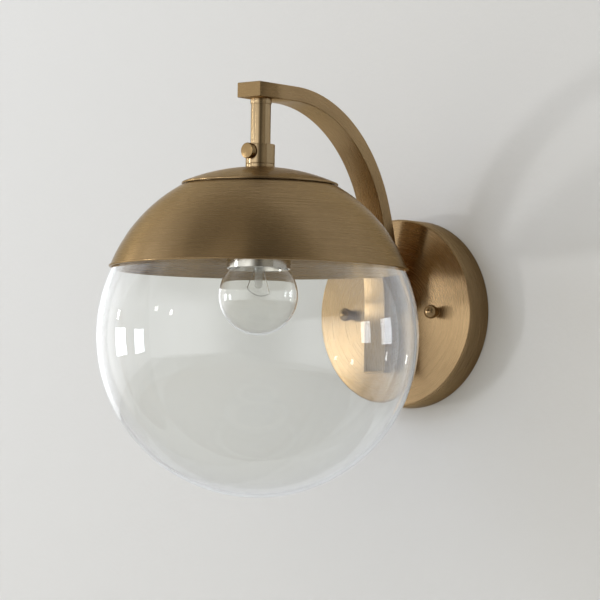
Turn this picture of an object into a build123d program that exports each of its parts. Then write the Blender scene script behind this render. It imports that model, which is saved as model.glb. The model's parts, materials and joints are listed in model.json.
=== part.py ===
from build123d import *
import os
from math import atan2, cos, degrees, radians, sin, sqrt

# Globe wall sconce. Millimetres, +Z up. The wall is the plane Y = 0, the origin is the
# middle of the backplate on the wall, and the lamp stands out from the wall towards -Y.

os.makedirs("parts", exist_ok=True)

# ---- driving dimensions: fits and sheet --------------------------------------------

slide_gap = 0.05           # running fits, on the radius
thread_gap = 0.05          # male to female thread, both modelled plain
hole_clear = 0.25          # clearance holes for the studs
sheet = 1.0                # spun brass of the hood

# ---- driving dimensions: backplate and wall fixing ---------------------------------

stud_spacing = 69.85
stud_r = 2.08
slot_land = 1.395          # metal between a stud's hole and its box slot
slot_long = 12.0
slot_wide = 4.6
strap_end = 3.55           # metal beyond a box slot
strap_wide = 22.0
strap_thick = 1.6
strap_eye_r = 6.5
ground_screw_r = 2.4
ground_screw_in = 14.9     # from a stud to the ground screw
ground_head_r = 3.8
ground_head_h = 2.4
ground_slot_wide = 0.9
ground_slot_deep = 1.1
stud_nut_flats = 8.7
stud_nut_h = 3.0
plate_cover = 7.3          # strap's end to the inside of the backplate
plate_wall = 1.2
plate_depth = 19.4
plate_edge_r = 1.5
nut_washer_r = 3.3
nut_washer_h = 1.5
ball_r = 4.5
ball_neck_r = 2.9
ball_neck_h = 0.6
stud_engaged = 6.1         # length of stud inside a ball nut
bore_spare = 0.8           # ball nut's bore beyond the stud's end

# ---- driving dimensions: arm -------------------------------------------------------

arm_clear = 20.7           # globe to the upright of the arm
arm_wide = 19.0
arm_thick = 9.5
arm_wall = 1.2
arm_edge_r = 0.7
arm_nose = 12.0            # arm's end beyond the stem's axis
arm_tail = 41.0            # arm's foot below the backplate's centre
level_run = 24.5           # from the stem's axis to the first bend
first_bend_turn = 68.0     # degrees; the second bend turns the rest of the quarter
end_plate = 1.2
boss_r = 7.5
boss_h = 8.3               # stand-off between the backplate and the arm
pipe_proud = 0.4           # thread showing inside the arm
nipple_tail = 7.2          # thread inside the backplate
nipple_washer_r = 9.5
nipple_washer_h = 1.0
pipe_nut_wall = 2.14       # from the thread to the flats
pipe_nut_h = 3.7

# ---- driving dimensions: globe -----------------------------------------------------

globe_drop = 21.0          # globe's centre below the backplate's centre
globe_r = 101.6
glass_wall = 2.5
shoulder_slope = 10.0      # degrees from level
shoulder_bend_r = 25.0     # rounding from the ball into the shoulder
shoulder_clear = 1.6       # glass shoulder below the fitter's skirt
neck_r = 37.0
neck_bend_r = 3.0          # rounding from the shoulder into the neck
lip_step = 2.7             # how far the lip stands out from the neck
lip_thick = 2.5

# ---- driving dimensions: fitter that holds the globe -------------------------------

gasket_thick = 1.0
fitter_wall = 1.2
fitter_gap = 0.6           # lip to the inside of the skirt
fitter_headroom = 2.0      # fitter's top corner below the cap
fitter_edge_r = 1.0
set_screw_r = 1.75
set_screw_gap = 0.2        # screws to the lip above them and to the neck
set_screw_proud = 1.5
set_screw_count = 3

# ---- driving dimensions: hood ------------------------------------------------------

rim_up = 42.3              # rim above the globe's centre
rim_gap = 0.6              # glass to the inside of the rim
rim_bead = 0.5             # how far the rolled rim stands out
rim_bead_h = 1.4
dome_centre_up = 7.5       # centre of the dome's curve above the globe's centre
ledge_clear = 3.5          # fitter's skirt to the dome's upstand
upstand_gap = 0.1          # upstand's top below the cap
cap_overhang = 3.5         # cap's edge outside the upstand
cap_crown_r = 124.0
cap_seam = 0.7             # open seam between the cap's edge and the dome
cap_edge_h = 1.1
cap_edge_r = 0.6
cap_seat = 0.15            # flat of the cap beyond the corners of the bush's nut

# ---- driving dimensions: stem, neck bush, collar and thumb screw -------------------

pipe_r = 4.86              # threaded lamp pipe
pipe_clear = 0.34          # pipe to the stem tube round it
stem_wall = 1.15
stem_show = 25.6           # bare stem between the collar and the ring
arm_ring_step = 0.4        # ring's edge outside the stem tube
arm_ring_h = 3.6
bush_wall = 1.2
bush_flange_h = 2.3
bush_nut_wall = 1.0        # from the thread to the flats
bush_nut_h = 2.8
spigot_wall = 1.55
spigot_h = 1.3
spigot_rim = 0.4           # rim that keeps the collar on the spigot
spigot_rim_h = 1.5
swivel_gap = 0.08
collar_wall = 0.9          # metal outside the spigot's rim
collar_h = 12.5
collar_edge = 0.4
thumb_shank_r = 2.0
thumb_spigot_r = 1.4
knob_r = 5.0
knob_thick = 3.7
knob_face = 1.0            # metal in front of the spigot
knob_edge_r = 0.5
knob_stand = 0.35          # knob to the collar when tight

# ---- driving dimensions: lamp holder -----------------------------------------------

cup_wall = 0.8
cup_clear = 1.7            # cup to the porcelain
cup_bulb_gap = 0.7         # cup's foot to the bulb
socket_wall = 3.7
socket_bulb_gap = 2.3      # porcelain's foot to the bulb
socket_hub_wall = 3.1
socket_hub_h = 4.3
socket_roof = 1.8
chamber_clear = 1.0        # terminal screws to the chamber's wall
chamber_h = 3.5
partition = 2.0
terminal_head_r = 1.8
terminal_head_h = 1.4
terminal_shank_r = 1.1
terminal_gap = 0.2         # wires to the terminals
screw_shell_wall = 0.4
screw_shell_in = 1.5       # shell's edges inside the porcelain
shell_gap = 0.1            # bulb's thread to the shell, and the shell to the porcelain
contact_thick = 0.5
contact_wide = 5.0

# ---- driving dimensions: bulb ------------------------------------------------------

bulb_r = 25.0
bulb_glass = 0.6
bulb_bend_r = 1.6
bulb_skirt_wall = 0.85     # metal cap's skirt round the neck
bulb_neck_show = 0.1       # glass between the ball's rounding and the metal cap
bulb_neck_in = 3.7         # glass inside the cap
bulb_cap_r = 13.2
bulb_cap_skirt = 4.2
bulb_cap_wall = 0.4
bulb_pitch = 3.63
bulb_threads = 5
bulb_thread_deep = 0.7
bulb_cap_lip = 0.5
insulator_plug = 1.0
insulator_h = 2.4
tip_r = 4.5
tip_h = 1.3
tip_gap = 0.1              # bulb's tip to the contact
flare_thick = 0.8
flare_fall = 12.5          # foot of the flare below the neck's end
mount_r = 2.6
mount_up = 6.7             # centre of the mount's round end above the ball's centre
filament_bearing = 40.0    # degrees, plane of the support wires
lead_r = 0.3
lead_start = 3.2           # support wires at the mount, from the axis
lead_start_up = 15.4       # heights from here on are above the ball's centre
long_lead_out = 7.1
long_lead_up = 4.6
short_lead_out = 6.8
short_lead_up = 1.7
filament_r = 0.15
filament_sag = 3.0
filament_gap = 0.35        # filament's ends to the ends of the support wires

# ---- driving dimensions: supply wires, run inside the arm and the stem --------------

wire_r = 0.9
wire_apart = 3.8
wire_clear = 0.5           # wires to the bore of the pipes
wire_bend_r = 5.4
wire_start = 0.5           # wires' ends in front of the wall

# ---- stack of the lamp, from the globe up and then back down into it -----------------

globe_z = -globe_drop
dome_z = globe_z + dome_centre_up
rim_z = globe_z + rim_up
rim_in_r = sqrt(globe_r**2 - rim_up**2) + rim_gap
dome_in_r = sqrt(rim_in_r**2 + (rim_z - dome_z) ** 2)
dome_out_r = dome_in_r + sheet

lip_r = neck_r + lip_step
skirt_in_r = lip_r + fitter_gap
skirt_out_r = skirt_in_r + fitter_wall
upstand_in_r = skirt_out_r + ledge_clear
upstand_out_r = upstand_in_r + sheet
cap_r = upstand_out_r + cap_overhang

pipe_bore_r = wire_apart / 2 + wire_r + wire_clear
thread_bore_r = pipe_r + thread_gap
stem_bore_r = pipe_r + pipe_clear
stem_r = stem_bore_r + stem_wall
slide_bore_r = stem_r + slide_gap
bush_thread_r = slide_bore_r + bush_wall
spigot_r = slide_bore_r + spigot_wall
spigot_rim_r = spigot_r + spigot_rim
collar_r = spigot_rim_r + collar_wall
bush_nut_flats = 2 * (bush_thread_r + bush_nut_wall)
cap_flat_r = bush_nut_flats / 2 / cos(radians(30)) + cap_seat

ledge_z = dome_z + sqrt(dome_out_r**2 - cap_r**2)
cap_low_z = ledge_z + cap_seam
cap_crown_z = cap_low_z + cap_edge_h - sqrt(cap_crown_r**2 - cap_r**2)
cap_flat_z = cap_crown_z + sqrt(cap_crown_r**2 - cap_flat_r**2)
cap_in_r = cap_crown_r - sheet
upstand_z = cap_crown_z + sqrt(cap_in_r**2 - upstand_out_r**2) - upstand_gap

fitter_top_z = cap_crown_z + sqrt(cap_in_r**2 - skirt_out_r**2) - fitter_headroom
fitter_disc_z = fitter_top_z - fitter_wall
lip_top_z = fitter_disc_z - gasket_thick
set_screw_z = lip_top_z - lip_thick - set_screw_gap - set_screw_r
skirt_low_z = set_screw_z - set_screw_r - fitter_wall

collar_foot_z = cap_flat_z + bush_flange_h
spigot_top_z = collar_foot_z + spigot_h + spigot_rim_h
groove_top_z = spigot_top_z + swivel_gap
collar_top_z = collar_foot_z + collar_h
thumb_z = (groove_top_z + collar_top_z) / 2
stem_top_z = collar_top_z + stem_show
arm_under_z = stem_top_z + arm_ring_h
arm_mid_z = arm_under_z + arm_thick / 2

upper_nut_z = fitter_disc_z - pipe_nut_h
cup_top_z = upper_nut_z - cup_wall
lower_nut_z = cup_top_z - pipe_nut_h
socket_top_z = lower_nut_z - socket_hub_h
chamber_top_z = socket_top_z - socket_roof
chamber_low_z = chamber_top_z - chamber_h
contact_z = chamber_low_z - partition
tip_z = contact_z - contact_thick - tip_gap
cap_end_z = tip_z - tip_h - insulator_h
bulb_cap_z = cap_end_z - bulb_cap_lip - bulb_threads * bulb_pitch - bulb_cap_skirt
bulb_neck_r = bulb_cap_r - bulb_skirt_wall - slide_gap
bulb_bend_up = sqrt((bulb_r + bulb_bend_r) ** 2 - (bulb_neck_r + bulb_bend_r) ** 2)
bulb_z = bulb_cap_z - bulb_neck_show - bulb_bend_up
bulb_neck_z = bulb_cap_z + bulb_neck_in

shell_in_r = bulb_cap_r + shell_gap
shell_out_r = shell_in_r + screw_shell_wall
socket_bore_r = shell_out_r + shell_gap
socket_r = socket_bore_r + socket_wall
cup_in_r = socket_r + cup_clear
cup_r = cup_in_r + cup_wall
cup_low_z = bulb_z + sqrt(bulb_r**2 - (cup_in_r - cup_bulb_gap) ** 2)
socket_low_z = bulb_z + sqrt(bulb_r**2 - socket_bore_r**2) + socket_bulb_gap

# ---- places along the wall, and the arm's two bends ----------------------------------

box_spacing = stud_spacing + 2 * (stud_r + thread_gap + slot_land) + slot_long
strap_long = box_spacing + slot_long + 2 * strap_end
plate_r = strap_long / 2 + plate_cover + plate_wall
plate_back = plate_depth - plate_wall
boss_end = plate_depth + boss_h
reach = boss_end + arm_thick + arm_clear + globe_r
nut_base = plate_depth + nut_washer_h
ball_y = -(nut_base + ball_neck_h + ball_r)
arm_mid_y = -(boss_end + arm_thick / 2)
arm_front_y = -(reach + arm_nose)

# The two bends share the drop and the run from the level end to the straight upright,
# which starts at the top of the boss.
second_bend_turn = 90.0 - first_bend_turn
turn_sin = sin(radians(first_bend_turn))
turn_cos = cos(radians(first_bend_turn))
bend_run = reach - level_run + arm_mid_y
bend_drop = arm_mid_z - boss_r
bend_share = turn_sin * turn_cos - (1 - turn_sin) * (1 - turn_cos)
first_bend_r = (bend_run * turn_cos - bend_drop * (1 - turn_sin)) / bend_share
second_bend_r = (bend_drop * turn_sin - bend_run * (1 - turn_cos)) / bend_share
first_centre = (level_run - reach, arm_mid_z - first_bend_r)
second_centre = (arm_mid_y - second_bend_r, boss_r)

# ---- planes, axes and shared shapes --------------------------------------------------

lamp_plane = Plane.XZ.offset(reach)            # upright plane through the stem's axis
lamp_axis = Axis((0, -reach, 0), (0, 0, 1))


def level(height):
    """Level plane centred on the stem's axis."""
    return Plane(origin=(0, -reach, height))


def off_wall(distance):
    """Upright plane facing the room, at a distance from the wall."""
    return Plane.XZ.offset(distance)


def outward(bearing, distance, height):
    """Plane facing away from the stem's axis along a bearing in degrees."""
    out = Vector(cos(radians(bearing)), sin(radians(bearing)), 0)
    return Plane(origin=Vector(0, -reach, height) + out * distance, x_dir=(0, 0, 1), z_dir=out)


def on_arc(radius, centre_height, across):
    """Point of an arc centred over the stem's axis, at a distance from that axis."""
    return (across, centre_height + sqrt(radius**2 - across**2))


def save(piece, node):
    """Label a finished piece and write its STEP file."""
    piece.part.label = node
    export_step(piece.part, f"parts/{node}.step")


def tube(plane, outer_r, inner_r, length):
    """Straight tube, pipe or washer standing on a plane."""
    with BuildPart() as piece:
        with BuildSketch(plane):
            Circle(outer_r)
            Circle(inner_r, mode=Mode.SUBTRACT)
        extrude(amount=length)
    return piece


def hex_nut(plane, flats, bore_r, height):
    """Plain hexagon nut standing on a plane."""
    with BuildPart() as piece:
        with BuildSketch(plane):
            RegularPolygon(flats / 2, 6, major_radius=False)
            Circle(bore_r, mode=Mode.SUBTRACT)
        extrude(amount=height)
    return piece


# ---- backplate and wall fixing ---------------------------------------------------------

with BuildPart() as backplate:
    with BuildSketch(Plane.YZ) as pan:
        Rectangle(plate_depth, plate_r, align=(Align.MAX, Align.MIN))
        fillet(pan.vertices().sort_by_distance((-plate_depth, plate_r))[0], plate_edge_r)
        Rectangle(plate_back, plate_r - plate_wall, align=(Align.MAX, Align.MIN), mode=Mode.SUBTRACT)
    revolve(axis=Axis.Y)
    with BuildSketch(off_wall(plate_depth)):
        Circle(thread_bore_r)
        with GridLocations(stud_spacing, 0, 2, 1):
            Circle(stud_r + hole_clear)
    extrude(amount=-plate_wall, mode=Mode.SUBTRACT)
save(backplate, "backplate")

ground_x = ground_screw_in - stud_spacing / 2
with BuildPart() as wall_strap:
    with BuildSketch(off_wall(0)):
        SlotOverall(strap_long, strap_wide)
        Circle(strap_eye_r, mode=Mode.SUBTRACT)
        with GridLocations(stud_spacing, 0, 2, 1):
            Circle(stud_r + thread_gap, mode=Mode.SUBTRACT)
        with GridLocations(box_spacing, 0, 2, 1):
            SlotOverall(slot_long, slot_wide, mode=Mode.SUBTRACT)
        with Locations((ground_x, 0)):
            Circle(ground_screw_r + thread_gap, mode=Mode.SUBTRACT)
    extrude(amount=strap_thick)
save(wall_strap, "wall_strap")

with BuildPart() as strap_studs:
    with BuildSketch(off_wall(0)):
        with GridLocations(stud_spacing, 0, 2, 1):
            Circle(stud_r)
    extrude(amount=nut_base + stud_engaged)
    chamfer(strap_studs.edges().group_by(Axis.Y)[0], stud_r / 5)
save(strap_studs, "strap_studs")

with BuildPart() as stud_lock_nuts:
    with BuildSketch(off_wall(strap_thick)):
        with GridLocations(stud_spacing, 0, 2, 1):
            RegularPolygon(stud_nut_flats / 2, 6, major_radius=False)
            Circle(stud_r + thread_gap, mode=Mode.SUBTRACT)
    extrude(amount=stud_nut_h)
save(stud_lock_nuts, "stud_lock_nuts")

with BuildPart() as ground_screw:
    with BuildSketch(off_wall(0)):
        with Locations((ground_x, 0)):
            Circle(ground_screw_r)
    extrude(amount=strap_thick)
    with BuildSketch(off_wall(strap_thick)):
        with Locations((ground_x, 0)):
            Circle(ground_head_r)
    extrude(amount=ground_head_h)
    fillet(ground_screw.edges().group_by(Axis.Y)[0], ground_head_h / 3)
    with BuildSketch(off_wall(strap_thick + ground_head_h)):
        with Locations((ground_x, 0)):
            Rectangle(2 * ground_head_r, ground_slot_wide)
    extrude(amount=-ground_slot_deep, mode=Mode.SUBTRACT)
save(ground_screw, "ground_screw")

for side, stud_x in (("left", -stud_spacing / 2), ("right", stud_spacing / 2)):
    with BuildPart() as nut_washer:
        with BuildSketch(off_wall(plate_depth)):
            with Locations((stud_x, 0)):
                Circle(nut_washer_r)
                Circle(stud_r + slide_gap, mode=Mode.SUBTRACT)
        extrude(amount=nut_washer_h)
        front_edges = nut_washer.edges().group_by(Axis.Y)[0]
        fillet(front_edges.sort_by(SortBy.RADIUS)[-1], nut_washer_h / 4)
    save(nut_washer, f"{side}_nut_washer")

    with BuildPart() as ball_nut:
        with Locations((stud_x, ball_y, 0)):
            Sphere(ball_r)
        with BuildSketch(off_wall(nut_base)):
            with Locations((stud_x, 0)):
                Circle(ball_neck_r)
        extrude(amount=ball_neck_h + ball_r)
        with BuildSketch(off_wall(nut_base)):
            with Locations((stud_x, 0)):
                Circle(stud_r + thread_gap)
        extrude(amount=stud_engaged + bore_spare, mode=Mode.SUBTRACT)
    save(ball_nut, f"{side}_ball_nut")

# ---- arm and how it is fixed to the backplate --------------------------------------------

nipple_foot = plate_back - nipple_tail
nipple_long = nipple_tail + plate_wall + boss_h + arm_wall + pipe_proud
save(tube(off_wall(plate_depth), boss_r, thread_bore_r, boss_h), "standoff_boss")
save(tube(off_wall(nipple_foot), pipe_r, pipe_bore_r, nipple_long), "arm_nipple")

washer_foot = plate_back - nipple_washer_h
nipple_washer = tube(off_wall(washer_foot), nipple_washer_r, thread_bore_r, nipple_washer_h)
save(nipple_washer, "nipple_washer")

pipe_nut_flats = 2 * (pipe_r + pipe_nut_wall)
nipple_nut = hex_nut(off_wall(washer_foot - pipe_nut_h), pipe_nut_flats, thread_bore_r, pipe_nut_h)
save(nipple_nut, "nipple_lock_nut")

with BuildPart() as arm:
    with BuildLine(Plane.YZ) as bar_line:
        Line((arm_front_y + end_plate, arm_mid_z), (first_centre[0], arm_mid_z))
        CenterArc(first_centre, first_bend_r, 90, -first_bend_turn)
        CenterArc(second_centre, second_bend_r, second_bend_turn, -second_bend_turn)
        Line((arm_mid_y, boss_r), (arm_mid_y, end_plate - arm_tail))
    bar_start = Plane(origin=bar_line.line @ 0, x_dir=(1, 0, 0), z_dir=(0, 1, 0))
    with BuildSketch(bar_start):
        RectangleRounded(arm_wide, arm_thick, arm_edge_r)
        Rectangle(arm_wide - 2 * arm_wall, arm_thick - 2 * arm_wall, mode=Mode.SUBTRACT)
    sweep(path=bar_line.line)
    with BuildSketch(off_wall(boss_end)):
        Circle(thread_bore_r)
    extrude(amount=arm_wall, mode=Mode.SUBTRACT)
    with BuildSketch(level(arm_under_z)):
        Circle(thread_bore_r)
    extrude(amount=arm_wall, mode=Mode.SUBTRACT)
save(arm, "arm")

nose_plane = Plane(origin=(0, arm_front_y, arm_mid_z), x_dir=(1, 0, 0), z_dir=(0, 1, 0))
foot_plane = Plane(origin=(0, arm_mid_y, -arm_tail), x_dir=(1, 0, 0), z_dir=(0, 0, 1))
with BuildPart() as arm_end_plates:
    for end_plane in (nose_plane, foot_plane):
        with BuildSketch(end_plane):
            RectangleRounded(arm_wide, arm_thick, arm_edge_r)
        extrude(amount=end_plate)
save(arm_end_plates, "arm_end_plates")

# ---- stem ------------------------------------------------------------------------------------

with BuildPart() as arm_ring:
    with BuildSketch(level(stem_top_z)):
        Circle(stem_r + arm_ring_step)
        Circle(thread_bore_r, mode=Mode.SUBTRACT)
    extrude(amount=arm_ring_h)
    lower_edges = arm_ring.edges().group_by(Axis.Z)[0]
    fillet(lower_edges.sort_by(SortBy.RADIUS)[-1], arm_ring_step / 2)
save(arm_ring, "arm_ring")

pipe_low_z = chamber_top_z + pipe_proud
pipe_long = arm_under_z + arm_wall + pipe_proud - pipe_low_z
save(tube(level(fitter_top_z), stem_r, stem_bore_r, stem_top_z - fitter_top_z), "stem_tube")
save(tube(level(pipe_low_z), pipe_r, pipe_bore_r, pipe_long), "stem_pipe")
save(hex_nut(level(upper_nut_z), pipe_nut_flats, thread_bore_r, pipe_nut_h), "fitter_lock_nut")
save(hex_nut(level(lower_nut_z), pipe_nut_flats, thread_bore_r, pipe_nut_h), "socket_lock_nut")

# ---- hood: neck bush, collar with its thumb screw, cap and dome -----------------------------------

with BuildPart() as neck_bush:
    with BuildSketch(lamp_plane):
        with BuildLine():
            Polyline(
                (slide_bore_r, fitter_top_z),
                (bush_thread_r, fitter_top_z),
                (bush_thread_r, cap_flat_z),
                (collar_r, cap_flat_z),
                (collar_r, collar_foot_z),
                (spigot_r, collar_foot_z),
                (spigot_r, collar_foot_z + spigot_h),
                (spigot_rim_r, collar_foot_z + spigot_h),
                (spigot_rim_r, spigot_top_z),
                (slide_bore_r, spigot_top_z),
                close=True,
            )
        make_face()
    revolve(axis=lamp_axis)
save(neck_bush, "neck_bush")

bush_nut_z = cap_flat_z - sheet - bush_nut_h
bush_nut = hex_nut(level(bush_nut_z), bush_nut_flats, bush_thread_r + thread_gap, bush_nut_h)
save(bush_nut, "bush_lock_nut")

with BuildPart() as collar:
    groove_low_z = collar_foot_z + spigot_h - swivel_gap
    with BuildSketch(lamp_plane) as sleeve:
        with BuildLine():
            Polyline(
                (spigot_r + swivel_gap, collar_foot_z + swivel_gap),
                (collar_r, collar_foot_z + swivel_gap),
                (collar_r, collar_top_z),
                (slide_bore_r, collar_top_z),
                (slide_bore_r, groove_top_z),
                (spigot_rim_r + swivel_gap, groove_top_z),
                (spigot_rim_r + swivel_gap, groove_low_z),
                (spigot_r + swivel_gap, groove_low_z),
                close=True,
            )
        make_face()
        chamfer(sleeve.vertices().sort_by_distance((collar_r, collar_top_z))[0], collar_edge)
    revolve(axis=lamp_axis)
    with BuildSketch(lamp_plane):
        with Locations((0, thumb_z)):
            Circle(thumb_shank_r + thread_gap)
    extrude(amount=collar_r, mode=Mode.SUBTRACT)
save(collar, "collar")

knob_back = collar_r + knob_stand
knob_bore = knob_thick - knob_face
with BuildPart() as thumb_screw_shank:
    with BuildSketch(lamp_plane.offset(slide_bore_r)):
        with Locations((0, thumb_z)):
            Circle(thumb_shank_r)
    extrude(amount=knob_back - slide_gap - slide_bore_r)
    with BuildSketch(lamp_plane.offset(knob_back - slide_gap)):
        with Locations((0, thumb_z)):
            Circle(thumb_spigot_r)
    extrude(amount=knob_bore)
save(thumb_screw_shank, "thumb_screw_shank")

with BuildPart() as thumb_screw_knob:
    with BuildSketch(lamp_plane.offset(knob_back)):
        with Locations((0, thumb_z)):
            Circle(knob_r)
    extrude(amount=knob_thick)
    fillet(thumb_screw_knob.edges().filter_by(GeomType.CIRCLE), knob_edge_r)
    with BuildSketch(lamp_plane.offset(knob_back)):
        with Locations((0, thumb_z)):
            Circle(thumb_spigot_r + slide_gap)
    extrude(amount=knob_bore, mode=Mode.SUBTRACT)
save(thumb_screw_knob, "thumb_screw_knob")

with BuildPart() as top_cap:
    cap_hole_r = bush_thread_r + thread_gap
    seat_under_z = cap_flat_z - sheet
    seat_under_r = sqrt(cap_in_r**2 - (seat_under_z - cap_crown_z) ** 2)
    outer_rim = (cap_r, cap_low_z + cap_edge_h)
    inner_rim = on_arc(cap_in_r, cap_crown_z, cap_r - sheet)
    with BuildSketch(lamp_plane) as cap_section:
        with BuildLine():
            Line((cap_hole_r, cap_flat_z), (cap_flat_r, cap_flat_z))
            ThreePointArc(
                (cap_flat_r, cap_flat_z), on_arc(cap_crown_r, cap_crown_z, cap_r / 2), outer_rim
            )
            Polyline(outer_rim, (cap_r, cap_low_z), (cap_r - sheet, cap_low_z), inner_rim)
            ThreePointArc(
                inner_rim, on_arc(cap_in_r, cap_crown_z, cap_r / 2), (seat_under_r, seat_under_z)
            )
            Polyline(
                (seat_under_r, seat_under_z), (cap_hole_r, seat_under_z), (cap_hole_r, cap_flat_z)
            )
        make_face()
        fillet(cap_section.vertices().sort_by_distance(outer_rim)[0], cap_edge_r)
    revolve(axis=lamp_axis)
save(top_cap, "top_cap")

with BuildPart() as dome:
    rim_out_r = sqrt(dome_out_r**2 - (rim_z - dome_z) ** 2)
    bead_top = (sqrt(dome_out_r**2 - (rim_z + rim_bead_h - dome_z) ** 2), rim_z + rim_bead_h)
    under_ledge_z = ledge_z - sheet
    under_ledge_r = sqrt(dome_in_r**2 - (under_ledge_z - dome_z) ** 2)
    shoulder_r = (cap_r + rim_in_r) / 2
    with BuildSketch(lamp_plane):
        with BuildLine():
            Line((rim_in_r, rim_z), (rim_out_r, rim_z))
            ThreePointArc(
                (rim_out_r, rim_z), (rim_out_r + rim_bead, rim_z + rim_bead_h / 2), bead_top
            )
            ThreePointArc(bead_top, on_arc(dome_out_r, dome_z, shoulder_r), (cap_r, ledge_z))
            Polyline(
                (cap_r, ledge_z),
                (upstand_out_r, ledge_z),
                (upstand_out_r, upstand_z),
                (upstand_in_r, upstand_z),
                (upstand_in_r, under_ledge_z),
                (under_ledge_r, under_ledge_z),
            )
            ThreePointArc(
                (under_ledge_r, under_ledge_z),
                on_arc(dome_in_r, dome_z, shoulder_r),
                (rim_in_r, rim_z),
            )
        make_face()
    revolve(axis=lamp_axis)
save(dome, "dome")

# ---- glass fitter, its gasket and screws --------------------------------------------------------

set_screw_bearings = [count * 360 / set_screw_count - 90 for count in range(set_screw_count)]

with BuildPart() as glass_fitter:
    with BuildSketch(lamp_plane) as fitter_section:
        with BuildLine():
            Polyline(
                (thread_bore_r, fitter_top_z),
                (skirt_out_r, fitter_top_z),
                (skirt_out_r, skirt_low_z),
                (skirt_in_r, skirt_low_z),
                (skirt_in_r, fitter_disc_z),
                (thread_bore_r, fitter_disc_z),
                close=True,
            )
        make_face()
        corner = fitter_section.vertices().sort_by_distance((skirt_out_r, fitter_top_z))[0]
        fillet(corner, fitter_edge_r)
    revolve(axis=lamp_axis)
    for bearing in set_screw_bearings:
        with BuildSketch(outward(bearing, neck_r, set_screw_z)):
            Circle(set_screw_r + thread_gap)
        extrude(amount=skirt_out_r - neck_r, mode=Mode.SUBTRACT)
save(glass_fitter, "glass_fitter")

with BuildPart() as set_screws:
    for bearing in set_screw_bearings:
        with BuildSketch(outward(bearing, neck_r + set_screw_gap, set_screw_z)):
            Circle(set_screw_r)
        extrude(amount=skirt_out_r + set_screw_proud - neck_r - set_screw_gap)
save(set_screws, "set_screws")

save(tube(level(lip_top_z), lip_r, neck_r - glass_wall, gasket_thick), "fitter_gasket")

# ---- globe ---------------------------------------------------------------------------------------

slope_sin = sin(radians(shoulder_slope))
slope_cos = cos(radians(shoulder_slope))
# distance of the sloping shoulder from the globe's centre, square to the slope
shoulder_off = skirt_out_r * slope_sin + (skirt_low_z - shoulder_clear - globe_z) * slope_cos
bend_in = shoulder_off - shoulder_bend_r
bend_out = sqrt((globe_r - shoulder_bend_r) ** 2 - bend_in**2)
bend_x = bend_in * slope_sin + bend_out * slope_cos
bend_up = bend_in * slope_cos - bend_out * slope_sin
bend_from = degrees(atan2(bend_up, bend_x))
neck_centre_r = neck_r + neck_bend_r
neck_centre_up = (shoulder_off + neck_bend_r - neck_centre_r * slope_sin) / slope_cos


def globe_outline(inset):
    """Outline of half the globe's ball, shoulder and neck, drawn in by an inset."""
    with BuildLine() as outline:
        ball = CenterArc((0, globe_z), globe_r - inset, -90, 90 + bend_from)
        bend = CenterArc(
            (bend_x, globe_z + bend_up),
            shoulder_bend_r - inset,
            bend_from,
            90 - shoulder_slope - bend_from,
        )
        neck = CenterArc(
            (neck_centre_r, globe_z + neck_centre_up),
            neck_bend_r + inset,
            270 - shoulder_slope,
            shoulder_slope - 90,
        )
        Line(bend @ 1, neck @ 0)
        Polyline(neck @ 1, (neck_r - inset, lip_top_z), (0, lip_top_z), ball @ 0)
    return outline.edges()


with BuildPart() as glass_globe:
    with BuildSketch(lamp_plane):
        make_face(globe_outline(0))
        with Locations((0, lip_top_z)):
            Rectangle(lip_r, lip_thick, align=(Align.MIN, Align.MAX))
        make_face(globe_outline(glass_wall), mode=Mode.SUBTRACT)
    revolve(axis=lamp_axis)
save(glass_globe, "glass_globe")

# ---- lamp holder -----------------------------------------------------------------------------------

with BuildPart() as socket_cup:
    with BuildSketch(level(cup_low_z)):
        Circle(cup_r)
    extrude(amount=upper_nut_z - cup_low_z)
    fillet(socket_cup.edges().group_by(Axis.Z)[-1], cup_wall)
    with BuildSketch(level(cup_low_z)):
        Circle(cup_in_r)
    extrude(amount=cup_top_z - cup_low_z, mode=Mode.SUBTRACT)
    with BuildSketch(level(cup_top_z)):
        Circle(thread_bore_r)
    extrude(amount=cup_wall, mode=Mode.SUBTRACT)
save(socket_cup, "socket_cup")

terminal_x = wire_apart / 2 + wire_r + terminal_gap + terminal_head_r
chamber_r = terminal_x + terminal_head_r + chamber_clear
with BuildPart() as socket_body:
    with BuildSketch(lamp_plane):
        with BuildLine():
            hub_r = thread_bore_r + socket_hub_wall
            Polyline(
                (thread_bore_r, lower_nut_z),
                (hub_r, lower_nut_z),
                (hub_r, socket_top_z),
                (socket_r, socket_top_z),
                (socket_r, socket_low_z),
                (socket_bore_r, socket_low_z),
                (socket_bore_r, contact_z),
                (0, contact_z),
                (0, chamber_low_z),
                (chamber_r, chamber_low_z),
                (chamber_r, chamber_top_z),
                (thread_bore_r, chamber_top_z),
                close=True,
            )
        make_face()
    revolve(axis=lamp_axis)
    with BuildSketch(level(contact_z)):
        with GridLocations(2 * terminal_x, 0, 2, 1):
            Circle(terminal_shank_r + thread_gap)
    extrude(amount=partition, mode=Mode.SUBTRACT)
save(socket_body, "socket_body")

shell_low_z = socket_low_z + screw_shell_in
shell_long = contact_z - screw_shell_in - shell_low_z
save(tube(level(shell_low_z), shell_out_r, shell_in_r, shell_long), "socket_shell")

with BuildPart() as socket_contact:
    with BuildSketch(level(contact_z - contact_thick)):
        with Locations((terminal_x / 2, 0)):
            SlotCenterToCenter(terminal_x, contact_wide)
    extrude(amount=contact_thick)
save(socket_contact, "socket_contact")

with BuildPart() as terminal_screws:
    with BuildSketch(level(contact_z)):
        with GridLocations(2 * terminal_x, 0, 2, 1):
            Circle(terminal_shank_r)
    extrude(amount=partition)
    with BuildSketch(level(chamber_low_z)):
        with GridLocations(2 * terminal_x, 0, 2, 1):
            Circle(terminal_head_r)
    extrude(amount=terminal_head_h)
save(terminal_screws, "terminal_screws")

# ---- bulb --------------------------------------------------------------------------------------------

bulb_bend_from = degrees(atan2(bulb_bend_up, bulb_neck_r + bulb_bend_r))


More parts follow.
